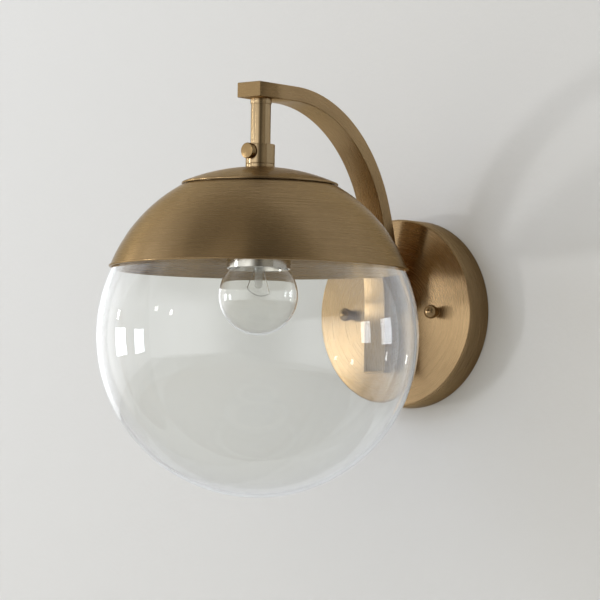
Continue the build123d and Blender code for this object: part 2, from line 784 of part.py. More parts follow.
def bulb_outline(inset):
    """Outline of half the bulb's glass, drawn in by an inset."""
    with BuildLine() as outline:
        ball = CenterArc((0, bulb_z), bulb_r - inset, -90, 90 + bulb_bend_from)
        neck = CenterArc(
            (bulb_neck_r + bulb_bend_r, bulb_z + bulb_bend_up),
            bulb_bend_r + inset,
            180 + bulb_bend_from,
            -bulb_bend_from,
        )
        Polyline(neck @ 1, (bulb_neck_r - inset, bulb_neck_z), (0, bulb_neck_z), ball @ 0)
    return outline.edges()


with BuildPart() as bulb_envelope:
    with BuildSketch(lamp_plane):
        make_face(bulb_outline(0))
        make_face(bulb_outline(bulb_glass), mode=Mode.SUBTRACT)
    revolve(axis=lamp_axis)
save(bulb_envelope, "bulb_envelope")

cap_root_r = bulb_cap_r - bulb_thread_deep
cap_bore_r = cap_root_r - bulb_cap_wall
thread_low_z = bulb_cap_z + bulb_cap_skirt
with BuildPart() as bulb_cap:
    with BuildSketch(lamp_plane):
        with BuildLine():
            Polyline(
                (cap_root_r, cap_end_z),
                (cap_bore_r, cap_end_z),
                (cap_bore_r, thread_low_z),
                (bulb_neck_r + slide_gap, thread_low_z),
                (bulb_neck_r + slide_gap, bulb_cap_z),
                (bulb_cap_r, bulb_cap_z),
                (bulb_cap_r, thread_low_z),
                (cap_root_r, thread_low_z),
            )
            for turn in range(bulb_threads):
                root_z = thread_low_z + turn * bulb_pitch
                ThreePointArc(
                    (cap_root_r, root_z),
                    (bulb_cap_r, root_z + bulb_pitch / 2),
                    (cap_root_r, root_z + bulb_pitch),
                )
            Line((cap_root_r, cap_end_z - bulb_cap_lip), (cap_root_r, cap_end_z))
        make_face()
    revolve(axis=lamp_axis)
save(bulb_cap, "bulb_cap")

with BuildPart() as bulb_insulator:
    with BuildSketch(lamp_plane):
        with BuildLine():
            plug_r = cap_bore_r - slide_gap
            Polyline(
                (0, cap_end_z - insulator_plug),
                (plug_r, cap_end_z - insulator_plug),
                (plug_r, cap_end_z),
                (tip_r, cap_end_z + insulator_h),
                (0, cap_end_z + insulator_h),
                close=True,
            )
        make_face()
    revolve(axis=lamp_axis)
save(bulb_insulator, "bulb_insulator")

with BuildPart() as bulb_contact:
    with BuildSketch(level(tip_z - tip_h)):
        Circle(tip_r)
    extrude(amount=tip_h)
    fillet(bulb_contact.edges().group_by(Axis.Z)[-1], tip_h / 2)
save(bulb_contact, "bulb_contact")

with BuildPart() as bulb_mount:
    with BuildSketch(lamp_plane):
        with BuildLine():
            flare_r = bulb_neck_r - bulb_glass - slide_gap
            mount_end_z = bulb_z + mount_up
            flare_edge = (flare_r, bulb_neck_z - flare_thick)
            flare_foot = (mount_r, bulb_neck_z - flare_fall)
            ThreePointArc((0, mount_end_z - mount_r), (mount_r * sin(radians(45)),
                          mount_end_z - mount_r * cos(radians(45))), (mount_r, mount_end_z))
            Line((mount_r, mount_end_z), flare_foot)
            TangentArc(flare_foot, flare_edge, tangent=(0, 1))
            Polyline(flare_edge, (flare_r, bulb_neck_z), (0, bulb_neck_z), (0, mount_end_z - mount_r))
        make_face()
    revolve(axis=lamp_axis)
save(bulb_mount, "bulb_mount")

bearing = radians(filament_bearing)
filament_plane = Plane(
    origin=(0, -reach, bulb_z), x_dir=(cos(bearing), sin(bearing), 0), z_dir=(sin(bearing), -cos(bearing), 0)
)
lead_ends = ((-long_lead_out, long_lead_up), (short_lead_out, short_lead_up))
lead_starts = ((-lead_start, lead_start_up), (lead_start, lead_start_up))

with BuildPart() as bulb_lead_wires:
    for start, end in zip(lead_starts, lead_ends):
        with BuildLine(filament_plane) as lead:
            Line(start, end)
        with BuildSketch(Plane(origin=lead.line @ 0, z_dir=lead.line % 0)):
            Circle(lead_r)
        sweep(path=lead.line)
save(bulb_lead_wires, "bulb_lead_wires")

with BuildPart() as bulb_filament:
    with BuildLine(filament_plane) as coil_line:
        from_end = (-long_lead_out, long_lead_up - filament_gap)
        to_end = (short_lead_out, short_lead_up - filament_gap)
        ThreePointArc(from_end, (0, (from_end[1] + to_end[1]) / 2 - filament_sag), to_end)
    with BuildSketch(Plane(origin=coil_line.line @ 0, z_dir=coil_line.line % 0)):
        Circle(filament_r)
    sweep(path=coil_line.line)
save(bulb_filament, "bulb_filament")

# ---- supply wires ------------------------------------------------------------------------------------

level_end_y = -(reach - wire_bend_r)
down_z = arm_mid_z - wire_bend_r
for conductor, wire_x in (("neutral", -wire_apart / 2), ("live", wire_apart / 2)):
    with BuildPart() as supply_wire:
        with BuildLine(Plane.YZ.offset(wire_x)) as route:
            Line((-wire_start, 0), (arm_mid_y + wire_bend_r, 0))
            CenterArc((arm_mid_y + wire_bend_r, wire_bend_r), wire_bend_r, 270, -90)
            Line((arm_mid_y, wire_bend_r), (arm_mid_y, boss_r))
            CenterArc(second_centre, second_bend_r, 0, second_bend_turn)
            CenterArc(first_centre, first_bend_r, second_bend_turn, first_bend_turn)
            Line((first_centre[0], arm_mid_z), (level_end_y, arm_mid_z))
            CenterArc((level_end_y, down_z), wire_bend_r, 90, 90)
            Line((-reach, down_z), (-reach, chamber_low_z + terminal_gap))
        with BuildSketch(Plane(origin=route.line @ 0, z_dir=(0, -1, 0))):
            Circle(wire_r)
        sweep(path=route.line)
    save(supply_wire, f"{conductor}_wire")
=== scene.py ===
"""Looks of the globe wall sconce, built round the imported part.

Lengths in the classes are millimetres. The wall is the plane Y = 0, the lamp stands out
from it towards -Y, +Z is up, and the origin is the middle of the backplate on the wall.
"""

import json
import logging
import math
from dataclasses import dataclass
from enum import Enum

import bmesh
import bpy
from mathutils import Matrix, Vector


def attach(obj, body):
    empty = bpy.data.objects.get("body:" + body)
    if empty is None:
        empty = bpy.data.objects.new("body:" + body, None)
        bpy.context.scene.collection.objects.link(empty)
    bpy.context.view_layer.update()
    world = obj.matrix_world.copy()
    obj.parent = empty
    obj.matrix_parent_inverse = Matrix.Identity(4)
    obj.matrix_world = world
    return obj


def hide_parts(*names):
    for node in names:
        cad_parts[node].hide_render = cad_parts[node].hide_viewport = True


LOG = logging.getLogger("sconce")

Point = tuple[float, float]            # of a section: distance from the axis and height
Corner = tuple[float, float, float]    # such a point, and the radius that rounds it
Triple = tuple[float, float, float]    # a place or a colour
Feed = bpy.types.Node | bpy.types.NodeSocket    # what a node's input is linked to

MM = 0.001
REACH = 159.5              # from the wall to the lamp's own axis
STUD_X = 34.925            # half the spacing of the two studs
THUMB_HEIGHT = 95.394      # axis of the thumb screw
PIPE_HOLE_R = 4.91         # hole in whatever the threaded pipe passes through
FIT = 0.05                 # between a bore and what is screwed or pressed into it
CREASE = 32.0              # degrees past which an edge stays crisp
ON_AXIS = 1e-4             # nearer the axis than this, a section's point is a pole
NO_LENGTH = 1e-6           # shorter than this, a section's side is none
SHARPEST = 0.05            # half the angle between two sides, below which a corner is kept
FLATTEST = math.pi / 2 - 0.02   # and above which it is kept
LONGEST_RUN = 0.45         # share of a side that one rounding may take
THREAD_RUNOUT = 0.6        # plain end before and after a thread
CREST_SHY = 0.01           # by which a drawn thread stays inside the rod's radius
MIX_A, MIX_B, MIX_OUT = 6, 7, 2   # numbers of a Mix node's colour inputs and output

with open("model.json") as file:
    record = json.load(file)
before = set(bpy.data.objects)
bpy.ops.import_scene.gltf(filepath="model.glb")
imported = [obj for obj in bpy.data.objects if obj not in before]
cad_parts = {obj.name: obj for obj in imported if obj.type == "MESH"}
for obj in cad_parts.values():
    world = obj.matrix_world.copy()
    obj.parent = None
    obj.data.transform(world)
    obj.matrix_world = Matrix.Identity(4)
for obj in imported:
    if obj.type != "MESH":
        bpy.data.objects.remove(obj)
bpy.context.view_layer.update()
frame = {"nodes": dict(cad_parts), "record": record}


# ---- small tools ---------------------------------------------------------------------------


def linear(hex_colour: str) -> tuple[float, float, float, float]:
    """Turn an sRGB hex colour to linear.

    Args:
        hex_colour: colour such as "#c8a878".

    Returns:
        Red, green, blue and an alpha of 1.
    """
    parts = [int(hex_colour[at:at + 2], 16) / 255 for at in (1, 3, 5)]
    red, green, blue = (
        part / 12.92 if part <= 0.04045 else ((part + 0.055) / 1.055) ** 2.4 for part in parts)
    return (red, green, blue, 1.0)


def add_object(name: str, data: bpy.types.ID) -> bpy.types.Object:
    """Make an object of the scene.

    Args:
        name: name of the object.
        data: its mesh, curve, light or camera.

    Returns:
        The new object.
    """
    made = bpy.data.objects.new(name, data)
    bpy.context.scene.collection.objects.link(made)
    return made


def add_node(
    tree: bpy.types.NodeTree, kind: str, inputs: dict | None = None, **settings: object
) -> bpy.types.Node:
    """Add a node to a tree with its settings and links.

    Args:
        tree: material, world or geometry tree.
        kind: the node's type name.
        inputs: for each named or numbered input a value, another node's output, or a node
            whose first output it is.
        **settings: properties of the node itself.

    Returns:
        The new node.
    """
    node = tree.nodes.new(kind)
    for name, value in settings.items():
        setattr(node, name, value)
    for socket, value in (inputs or {}).items():
        if isinstance(value, bpy.types.Node):
            value = value.outputs[0]
        if isinstance(value, bpy.types.NodeSocket):
            tree.links.new(value, node.inputs[socket])
        else:
            node.inputs[socket].default_value = value
    return node


def blank_material(name: str) -> bpy.types.Material:
    """Make a material with an empty node tree.

    Args:
        name: the material's name.

    Returns:
        The new material.
    """
    made = bpy.data.materials.new(name)
    made.use_nodes = True
    made.node_tree.nodes.clear()
    return made


def arc(centre: Point, radius: float, start: float, end: float, steps: int) -> list[Point]:
    """Points along an arc of a section, in millimetres.

    Args:
        centre: distance from the axis and height of the arc's centre.
        radius: the arc's radius.
        start: bearing of the first point, degrees from level.
        end: bearing of the last point.
        steps: number of chords.

    Returns:
        steps + 1 points.
    """
    turns = [math.radians(start + (end - start) * step / steps) for step in range(steps + 1)]
    return [(centre[0] + radius * math.cos(t), centre[1] + radius * math.sin(t)) for t in turns]


def eased(corners: list[Corner], steps: int = 4) -> list[Point]:
    """Round the corners of a closed section.

    Args:
        corners: distance from the axis, height and rounding radius of each corner.
        steps: chords in each rounding.

    Returns:
        The points of the rounded section.
    """
    points: list[Point] = []
    for at, (out, up, soft) in enumerate(corners):
        here = Vector((out, up))
        before = Vector(corners[at - 1][:2]) - here
        after = Vector(corners[(at + 1) % len(corners)][:2]) - here
        shorter = min(before.length, after.length)
        half = before.angle(after, math.pi) / 2
        if soft <= 0 or shorter < NO_LENGTH or not SHARPEST <= half <= FLATTEST:
            points.append((out, up))
            continue
        run = min(soft / math.tan(half), LONGEST_RUN * shorter)
        back, ahead = before.normalized(), after.normalized()
        centre = here + (back + ahead).normalized() * run / math.cos(half)
        first, last = here + back * run - centre, here + ahead * run - centre
        for step in range(steps + 1):
            spoke = first.slerp(last, step / steps).normalized()
            points.append(tuple(centre + spoke * run * math.tan(half)))
    return points


def eased_open(corners: list[Corner]) -> list[Point]:
    """Round the inner corners of an open run of a section.

    Args:
        corners: corners of the run, the first and the last of which go on away from the axis.

    Returns:
        The points of the run.
    """
    beyond = 5.0
    before, after = ((out + beyond, up, 0.0) for out, up, _ in (corners[0], corners[-1]))
    return eased([before, *corners, after])[1:-1]


def finish_mesh(
    mesh: bpy.types.Mesh, name: str, finish: bpy.types.Material, crease: float = CREASE
) -> bpy.types.Object:
    """Shade a mesh smooth between its creases and make it an object of the scene.

    Args:
        mesh: mesh in the row frame, in metres.
        name: name of the piece.
        finish: its material.
        crease: angle in degrees past which an edge stays crisp.

    Returns:
        The new object.
    """
    mesh.shade_smooth()
    mesh.set_sharp_from_angle(angle=math.radians(crease))
    mesh.materials.clear()
    mesh.materials.append(finish)
    return add_object(name, mesh)


def joined(name: str, meshes: list[bpy.types.Mesh], finish: bpy.types.Material) -> bpy.types.Object:
    """Join closed meshes into one piece, each shell as it is.

    Args:
        name: name of the piece.
        meshes: meshes in the row frame.
        finish: material of the whole piece.

    Returns:
        The finished piece.
    """
    whole = bmesh.new()
    for mesh in meshes:
        whole.from_mesh(mesh)
    bmesh.ops.recalc_face_normals(whole, faces=whole.faces)
    mesh = bpy.data.meshes.new(name)
    whole.to_mesh(mesh)
    whole.free()
    for face in mesh.polygons:
        face.material_index = 0
    return finish_mesh(mesh, name, finish)


def turned(
    name: str, section: list[Point], place: Matrix, finish: bpy.types.Material, segments: int = 96
) -> bpy.types.Object:
    """Turn a closed section round an axis, as on a lathe.

    Args:
        name: name of the piece.
        section: closed half section, distance from the axis and height, in millimetres.
        place: puts the axis, +Z here, into the row frame, in metres.
        finish: material of the piece.
        segments: number of steps round the axis.

    Returns:
        The finished piece.
    """
    rings: list[list[int]] = []
    verts: list[Triple] = []
    for out, up in section:
        if out < ON_AXIS:
            rings.append([len(verts)])
            verts.append((0.0, 0.0, up * MM))
            continue
        rings.append(list(range(len(verts), len(verts) + segments)))
        for step in range(segments):
            bearing = 2 * math.pi * step / segments
            verts.append((out * MM * math.cos(bearing), out * MM * math.sin(bearing), up * MM))
    faces: list[tuple[int, ...]] = []
    for at, low in enumerate(rings):
        high = rings[(at + 1) % len(rings)]
        if len(low) == len(high) == 1:
            continue
        for step in range(segments):
            then = (step + 1) % segments
            if len(low) == 1:
                faces.append((low[0], high[then], high[step]))
            elif len(high) == 1:
                faces.append((low[step], low[then], high[0]))
            else:
                faces.append((low[step], low[then], high[then], high[step]))
    mesh = bpy.data.meshes.new(name)
    mesh.from_pydata(verts, [], faces)
    shape = bmesh.new()
    shape.from_mesh(mesh)
    if shape.calc_volume(signed=True) < 0:
        bmesh.ops.reverse_faces(shape, faces=shape.faces)
    shape.to_mesh(mesh)
    shape.free()
    mesh.transform(place)
    return finish_mesh(mesh, name, finish)


def on_lamp_axis() -> Matrix:
    """Upright axis of the lamp."""
    return Matrix.Translation((0, -REACH * MM, 0))


def out_of_wall(across: float = 0.0, out: float = 0.0, up: float = 0.0) -> Matrix:
    """Axis that points from the wall to the room, through a place in millimetres."""
    return Matrix.Translation((across * MM, -out * MM, up * MM)) @ Matrix.Rotation(
        math.radians(90), 4, "X")


def stand_in(piece: bpy.types.Object, slot: str, *nodes: str) -> None:
    """Let a piece stand for CAD nodes and move with their body.

    Args:
        piece: the finished piece.
        slot: the record's material slot; not used.
        *nodes: CAD nodes of one body.
    """
    bodies = frame["record"]["behaviour"]["bodies"]
    body = next(name for name, held in bodies.items() if nodes[0] in held)
    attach(piece, body)
    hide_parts(*nodes)
    LOG.info("%s stands for %s on %s", piece.name, ", ".join(nodes), body)


def turned_brass(
    node: str, name: str, corners: list[Corner], place: Matrix, finish: bpy.types.Material,
    segments: int = 96
) -> None:
    """Turn a brass piece with rounded corners and let it stand for a CAD node.

    Args:
        node: name of the CAD node.
        name: name of the piece.
        corners: corners of its closed half section.
        place: the piece's axis.
        finish: material of the piece.
        segments: number of steps round the axis.
    """
    stand_in(turned(name, eased(corners), place, finish, segments), "brushed_brass", node)


def dress(finish: bpy.types.Material, *nodes: str) -> None:
    """Give CAD nodes that keep their own meshes a finish.

    Args:
        finish: their material.
        *nodes: names of the nodes.
    """
    for node in nodes:
        materials = frame["nodes"][node].data.materials
        materials.clear()
        materials.append(finish)
        LOG.info("%s keeps its own solid", node)


# ---- finishes ------------------------------------------------------------------------------


@dataclass(frozen=True)
class Finish:
    """What the finishes share: an empty tree to start from, and one shader at its end."""

    name: str

    def surface(self, tree: bpy.types.NodeTree) -> dict:
        """Add the finish's own nodes.

        Args:
            tree: the material's empty tree.

        Returns:
            The inputs of the shader.
        """
        raise NotImplementedError

    def material(self) -> bpy.types.Material:
        """Build the node material.

        Returns:
            The new material.
        """
        made = blank_material(self.name)
        tree = made.node_tree
        shader = add_node(tree, "ShaderNodeBsdfPrincipled", self.surface(tree))
        add_node(tree, "ShaderNodeOutputMaterial", {"Surface": shader})
        return made


class BrushWay(Enum):
    """Ways in which a metal was brushed."""

    ROUND_UPRIGHT = "turned about the lamp's axis"
    ROUND_OUTWARD = "turned about an axis out of the wall"
    LENGTHWISE = "drawn along the piece"


@dataclass(frozen=True)
class BrushedBrass(Finish):
    """Aged brass, spun or drawn, then brushed with an abrasive pad and lacquered.

    The eye sees fine parallel lines, reflections smeared across them, a brown tone where
    the ageing stayed in the metal and a paler gold where the pad took it off.
    """

    way: BrushWay
    centre: Triple = (0.0, 0.0, 0.0)
    aged: str = "#876f4c"
    rubbed: str = "#bfa178"
    roughness: float = 0.27
    smear: float = 0.95
    line_mm: float = 0.5       # the pad's lines are finer, and are drawn this coarse to show
    line_run: float = 0.02     # how fast a line changes along its run, against across it
    line_turn: float = 2.2     # how fast it changes round an axis
    line_detail: float = 3.0
    line_rough: float = 0.65
    relief: float = 0.12
    groove_mm: float = 0.03
    contrast: float = 0.55     # share of the lines in the change from the aged to the rubbed tone
    patch_mm: float = 28.0
    patch_share: float = 0.45  # share of the patches in it
    tone: float = 0.25         # what neither of them changes
    edge_tint: str = "#e2d2b8"
    lacquer: float = 0.1

    def lines_along(self, tree: bpy.types.NodeTree) -> tuple[Feed, Feed, Feed]:
        """Add lines that run along the piece, by its own map.

        Args:
            tree: the material's tree.

        Returns:
            The place in the solid, the lines and their tangent.
        """
        across = 1 / (self.line_mm * MM)
        place = add_node(tree, "ShaderNodeMapping", {
            "Vector": add_node(tree, "ShaderNodeUVMap", uv_map="brush"),
            "Scale": (self.line_run * across, across, 1.0)})
        lines = add_node(tree, "ShaderNodeTexNoise", {
            "Vector": place, "Scale": 1.0, "Detail": self.line_detail,
            "Roughness": self.line_rough})
        tangent = add_node(tree, "ShaderNodeTangent", direction_type="UV_MAP", uv_map="brush")
        return add_node(tree, "ShaderNodeTexCoord").outputs["Object"], lines, tangent

    def lines_round(self, tree: bpy.types.NodeTree) -> tuple[Feed, Feed, Feed]:
        """Add lines that run round the axis on which the piece was turned.

        Args:
            tree: the material's tree.

        Returns:
            The place in the solid, the lines and their tangent.
        """
        upright = self.way is BrushWay.ROUND_UPRIGHT
        across = 1 / (self.line_mm * MM)
        solid = add_node(tree, "ShaderNodeMapping", {
            "Vector": add_node(tree, "ShaderNodeTexCoord").outputs["Object"],
            "Location": tuple(-part * MM for part in self.centre)})
        axes = add_node(tree, "ShaderNodeSeparateXYZ", {"Vector": solid})
        flat = add_node(tree, "ShaderNodeCombineXYZ", {
            "X": axes.outputs["X"], "Y": axes.outputs["Y" if upright else "Z"]})
        far = add_node(tree, "ShaderNodeVectorMath", {0: flat}, operation="LENGTH")
        ring = add_node(tree, "ShaderNodeMath", {
            0: far.outputs["Value"], 1: across}, operation="MULTIPLY")
        out = add_node(tree, "ShaderNodeVectorMath", {0: flat}, operation="NORMALIZE")
        turn = add_node(
            tree, "ShaderNodeVectorMath", {0: out, "Scale": self.line_turn}, operation="SCALE")
        along = add_node(tree, "ShaderNodeMath", {
            0: axes.outputs["Z" if upright else "Y"], 1: across}, operation="MULTIPLY")
        lift = add_node(tree, "ShaderNodeCombineXYZ", {"Z": along})
        place = add_node(tree, "ShaderNodeVectorMath", {0: turn, 1: lift}, operation="ADD")
        lines = add_node(tree, "ShaderNodeTexNoise", {
            "Vector": place, "W": ring, "Scale": 1.0, "Detail": self.line_detail,
            "Roughness": self.line_rough}, noise_dimensions="4D")
        tangent = add_node(
            tree, "ShaderNodeTangent", direction_type="RADIAL", axis="Z" if upright else "Y")
        return solid, lines, tangent

    def surface(self, tree: bpy.types.NodeTree) -> dict:
        """Add the brushed lines, the tone that they and the patches give, and their grooves.

        Args:
            tree: the material's empty tree.

        Returns:
            The inputs of the shader.
        """
        along = self.way is BrushWay.LENGTHWISE
        solid, lines, tangent = self.lines_along(tree) if along else self.lines_round(tree)
        patches = add_node(tree, "ShaderNodeTexNoise", {
            "Vector": solid, "Scale": 1 / (self.patch_mm * MM), "Detail": 4.0, "Roughness": 0.55})
        tone = add_node(tree, "ShaderNodeMath", {
            0: lines, 1: self.contrast, 2: self.tone - self.contrast / 2}, operation="MULTIPLY_ADD")
        blend = add_node(tree, "ShaderNodeMath", {
            0: patches, 1: self.patch_share, 2: tone}, operation="MULTIPLY_ADD")
        colour = add_node(tree, "ShaderNodeMix", {
            0: blend, MIX_A: linear(self.aged), MIX_B: linear(self.rubbed)}, data_type="RGBA")
        rough = add_node(tree, "ShaderNodeMapRange", {
            "Value": lines, "From Min": 0.25, "From Max": 0.75,
            "To Min": self.roughness + 0.07, "To Max": self.roughness - 0.06})
        grooves = add_node(tree, "ShaderNodeBump", {
            "Height": lines, "Strength": self.relief, "Distance": self.groove_mm * MM})
        return {
            "Base Color": colour.outputs[MIX_OUT], "Roughness": rough, "Metallic": 1.0,
            "Normal": grooves, "Anisotropic": self.smear, "Anisotropic Rotation": 0.25,
            "Tangent": tangent, "Specular Tint": linear(self.edge_tint),
            "Coat Weight": self.lacquer, "Coat Roughness": 0.1}


@dataclass(frozen=True)
class PlainMetal(Finish):
    """Rolled, plated or soldered metal with no brushing.

    The eye sees an even gloss that changes slightly from place to place, with faint
    handling marks.
    """

    colour: str
    dull: str
    roughness: float
    grain_mm: float = 3.0
    relief: float = 0.08
    mark_mm: float = 0.1

    def surface(self, tree: bpy.types.NodeTree) -> dict:
        """Add the cloudy tone, the change of gloss and the handling marks.

        Args:
            tree: the material's empty tree.

        Returns:
            The inputs of the shader.
        """
        cloud = add_node(tree, "ShaderNodeTexNoise", {
            "Vector": add_node(tree, "ShaderNodeTexCoord").outputs["Object"],
            "Scale": 1 / (self.grain_mm * MM), "Detail": 4.0, "Roughness": 0.6})
        colour = add_node(tree, "ShaderNodeMix", {
            0: cloud, MIX_A: linear(self.dull), MIX_B: linear(self.colour)}, data_type="RGBA")
        rough = add_node(tree, "ShaderNodeMapRange", {
            "Value": cloud, "From Min": 0.3, "From Max": 0.7,
            "To Min": self.roughness * 1.25, "To Max": self.roughness * 0.8})
        marks = add_node(tree, "ShaderNodeBump", {
            "Height": cloud, "Strength": self.relief, "Distance": self.mark_mm * MM})
        return {
            "Base Color": colour.outputs[MIX_OUT], "Roughness": rough, "Metallic": 1.0,
            "Normal": marks}


@dataclass(frozen=True)
class Moulded(Finish):
    """Moulded, extruded or glazed material that isn't metal.

    The eye sees one even colour with a fine grain, and under a glaze a clear highlight.
    """

    colour: str
    shade: str
    roughness: float
    ior: float = 1.5
    glaze: float = 0.0
    grain_mm: float = 1.2
    grain_relief: float = 0.12
    grain_deep_mm: float = 0.05
    cover: float = 1.0         # 1 hides what is behind, less lets it show through

    def surface(self, tree: bpy.types.NodeTree) -> dict:
        """Add the grain, in the tone and in the surface.

        Args:
            tree: the material's empty tree.

        Returns:
            The inputs of the shader.
        """
        grain = add_node(tree, "ShaderNodeTexNoise", {
            "Vector": add_node(tree, "ShaderNodeTexCoord").outputs["Object"],
            "Scale": 1 / (self.grain_mm * MM), "Detail": 3.0})
        colour = add_node(tree, "ShaderNodeMix", {
            0: grain, MIX_A: linear(self.shade), MIX_B: linear(self.colour)}, data_type="RGBA")
        relief = add_node(tree, "ShaderNodeBump", {
            "Height": grain, "Strength": self.grain_relief, "Distance": self.grain_deep_mm * MM})
        return {
            "Base Color": colour.outputs[MIX_OUT], "Roughness": self.roughness, "IOR": self.ior,
            "Normal": relief, "Coat Weight": self.glaze,
            "Coat Roughness": 0.06, "Alpha": self.cover}


@dataclass(frozen=True)
class BlownGlass(Finish):
    """Clear soda-lime glass, blown in a mould and fire polished.

    The eye sees sharp reflections that bend a little where the wall waves, a darker line
    where it is seen edge on, and a faint haze of dust.
    """

    colour: str
    ior: float = 1.5
    wave_mm: float = 60.0
    wave_depth: float = 0.05
    wave_deep_mm: float = 1.5
    dust_mm: float = 9.0
    dust: float = 0.02         # roughness where the dust is thickest

    def surface(self, tree: bpy.types.NodeTree) -> dict:
        """Add the waves of the wall and the dust.

        Args:
            tree: the material's empty tree.

        Returns:
            The inputs of the shader.
        """
        solid = add_node(tree, "ShaderNodeTexCoord").outputs["Object"]
        wave = add_node(tree, "ShaderNodeTexNoise", {
            "Vector": solid, "Scale": 1 / (self.wave_mm * MM), "Detail": 1.0})
        haze = add_node(tree, "ShaderNodeTexNoise", {
            "Vector": solid, "Scale": 1 / (self.dust_mm * MM), "Detail": 3.0})
        rough = add_node(tree, "ShaderNodeMapRange", {
            "Value": haze, "From Min": 0.4, "From Max": 0.8, "To Min": 0.0, "To Max": self.dust})
        bend = add_node(tree, "ShaderNodeBump", {
            "Height": wave, "Strength": self.wave_depth, "Distance": self.wave_deep_mm * MM})
        return {
            "Base Color": linear(self.colour), "Roughness": rough,
            "IOR": self.ior, "Transmission Weight": 1.0, "Normal": bend}


class Finishes:
    """All finishes of the lamp, each built once."""

    def __init__(self) -> None:
        """Build each material."""
        lamp = (0.0, -REACH, 0.0)
        self.spun = BrushedBrass(
            "brass_spun_and_brushed", BrushWay.ROUND_UPRIGHT, lamp, aged="#7d6748",
            rubbed="#b3976f").material()
        self.stem_brass = BrushedBrass(
            "brass_tube_drawn_and_turned", BrushWay.ROUND_UPRIGHT, lamp, rubbed="#cdb48e",
            roughness=0.2, relief=0.04, line_mm=0.3, contrast=0.2).material()
        self.faced = BrushedBrass(
            "brass_faced_and_brushed", BrushWay.ROUND_OUTWARD, line_mm=0.3, relief=0.008,
            contrast=0.2, smear=1.0, roughness=0.25).material()
        # aged and rubbed tones darker than the other turned brass: painted shade on the thumb screw
        self.knob_brass_painted_shade = BrushedBrass(
            "brass_knob_turned_painted_shade", BrushWay.ROUND_OUTWARD, (0.0, 0.0, THUMB_HEIGHT), line_mm=0.35,
            relief=0.04, smear=0.4, roughness=0.22, aged="#76603f", rubbed="#a68a60").material()
        self.nut_brass = {
            side: BrushedBrass(
                f"brass_ball_nut_{side}_turned", BrushWay.ROUND_OUTWARD, (across, 0.0, 0.0),
                line_mm=0.35, relief=0.04, smear=0.4, roughness=0.2).material()
            for side, across in (("left", -STUD_X), ("right", STUD_X))}
        self.drawn = BrushedBrass(
            "brass_bar_brushed_lengthwise", BrushWay.LENGTHWISE, smear=0.7, roughness=0.28,
            relief=0.08).material()
        # aged and rubbed tones darker than the bar's: painted shade on the end plates
        self.brazed_painted_shade = BrushedBrass(
            "brass_plate_brazed_on_painted_shade", BrushWay.LENGTHWISE, aged="#6c583a", rubbed="#9a7f58",
            smear=0.7, roughness=0.28, relief=0.08).material()
        self.globe = BlownGlass("soda_lime_glass_blown", "#fbfcfa").material()
        self.bulb_glass = BlownGlass(
            "soda_lime_glass_bulb", "#fdfdfb", wave_mm=25.0, wave_depth=0.02).material()
        self.nickel = PlainMetal("nickel_plate_polished", "#d3cfc6", "#bdb8ad", 0.12).material()
        self.zinc = PlainMetal(
            "zinc_plate_bright_on_steel", "#c3c6c8", "#a5a9ac", 0.32, grain_mm=2.0).material()
        self.cap_metal = PlainMetal(
            "aluminium_rolled_bulb_cap", "#d5d5d2", "#bdbdb9", 0.24).material()
        self.solder = PlainMetal(
            "solder_cast_dull", "#b9b9b4", "#8f8f8a", 0.45, grain_mm=1.0, relief=0.2).material()
        self.bare_brass = PlainMetal("brass_plain_machined", "#d9bb78", "#c2a25e", 0.25).material()
        self.tungsten = PlainMetal(
            "tungsten_drawn_wire", "#8d8b88", "#5f5d5a", 0.4, grain_mm=0.5).material()
        self.mount_glass = Moulded(
            "lead_glass_drawn", "#eceeea", "#e2e4e0", 0.08, 1.56, 0.6, cover=0.3).material()
        self.porcelain = Moulded(
            "porcelain_glazed_white", "#ece9e0", "#e2ded2", 0.35, 1.52, 0.8).material()
        self.black_glass = Moulded(
            "glass_black_pressed", "#0f0f12", "#08080a", 0.12, 1.52, 0.5).material()
        self.silicone = Moulded("silicone_ring_moulded", "#d9d8d2", "#cbcac3", 0.6, 1.41).material()
        self.black_wire = Moulded("pvc_extruded_black", "#1a1a1a", "#101010", 0.45, 1.53).material()
        self.white_wire = Moulded("pvc_extruded_white", "#e8e7e2", "#dbdad4", 0.45, 1.53).material()
        self.ground_green = Moulded(
            "lacquer_green_on_screw", "#2f7a45", "#256238", 0.3, 1.5, 0.4).material()


# ---- geometry node trees -------------------------------------------------------------------


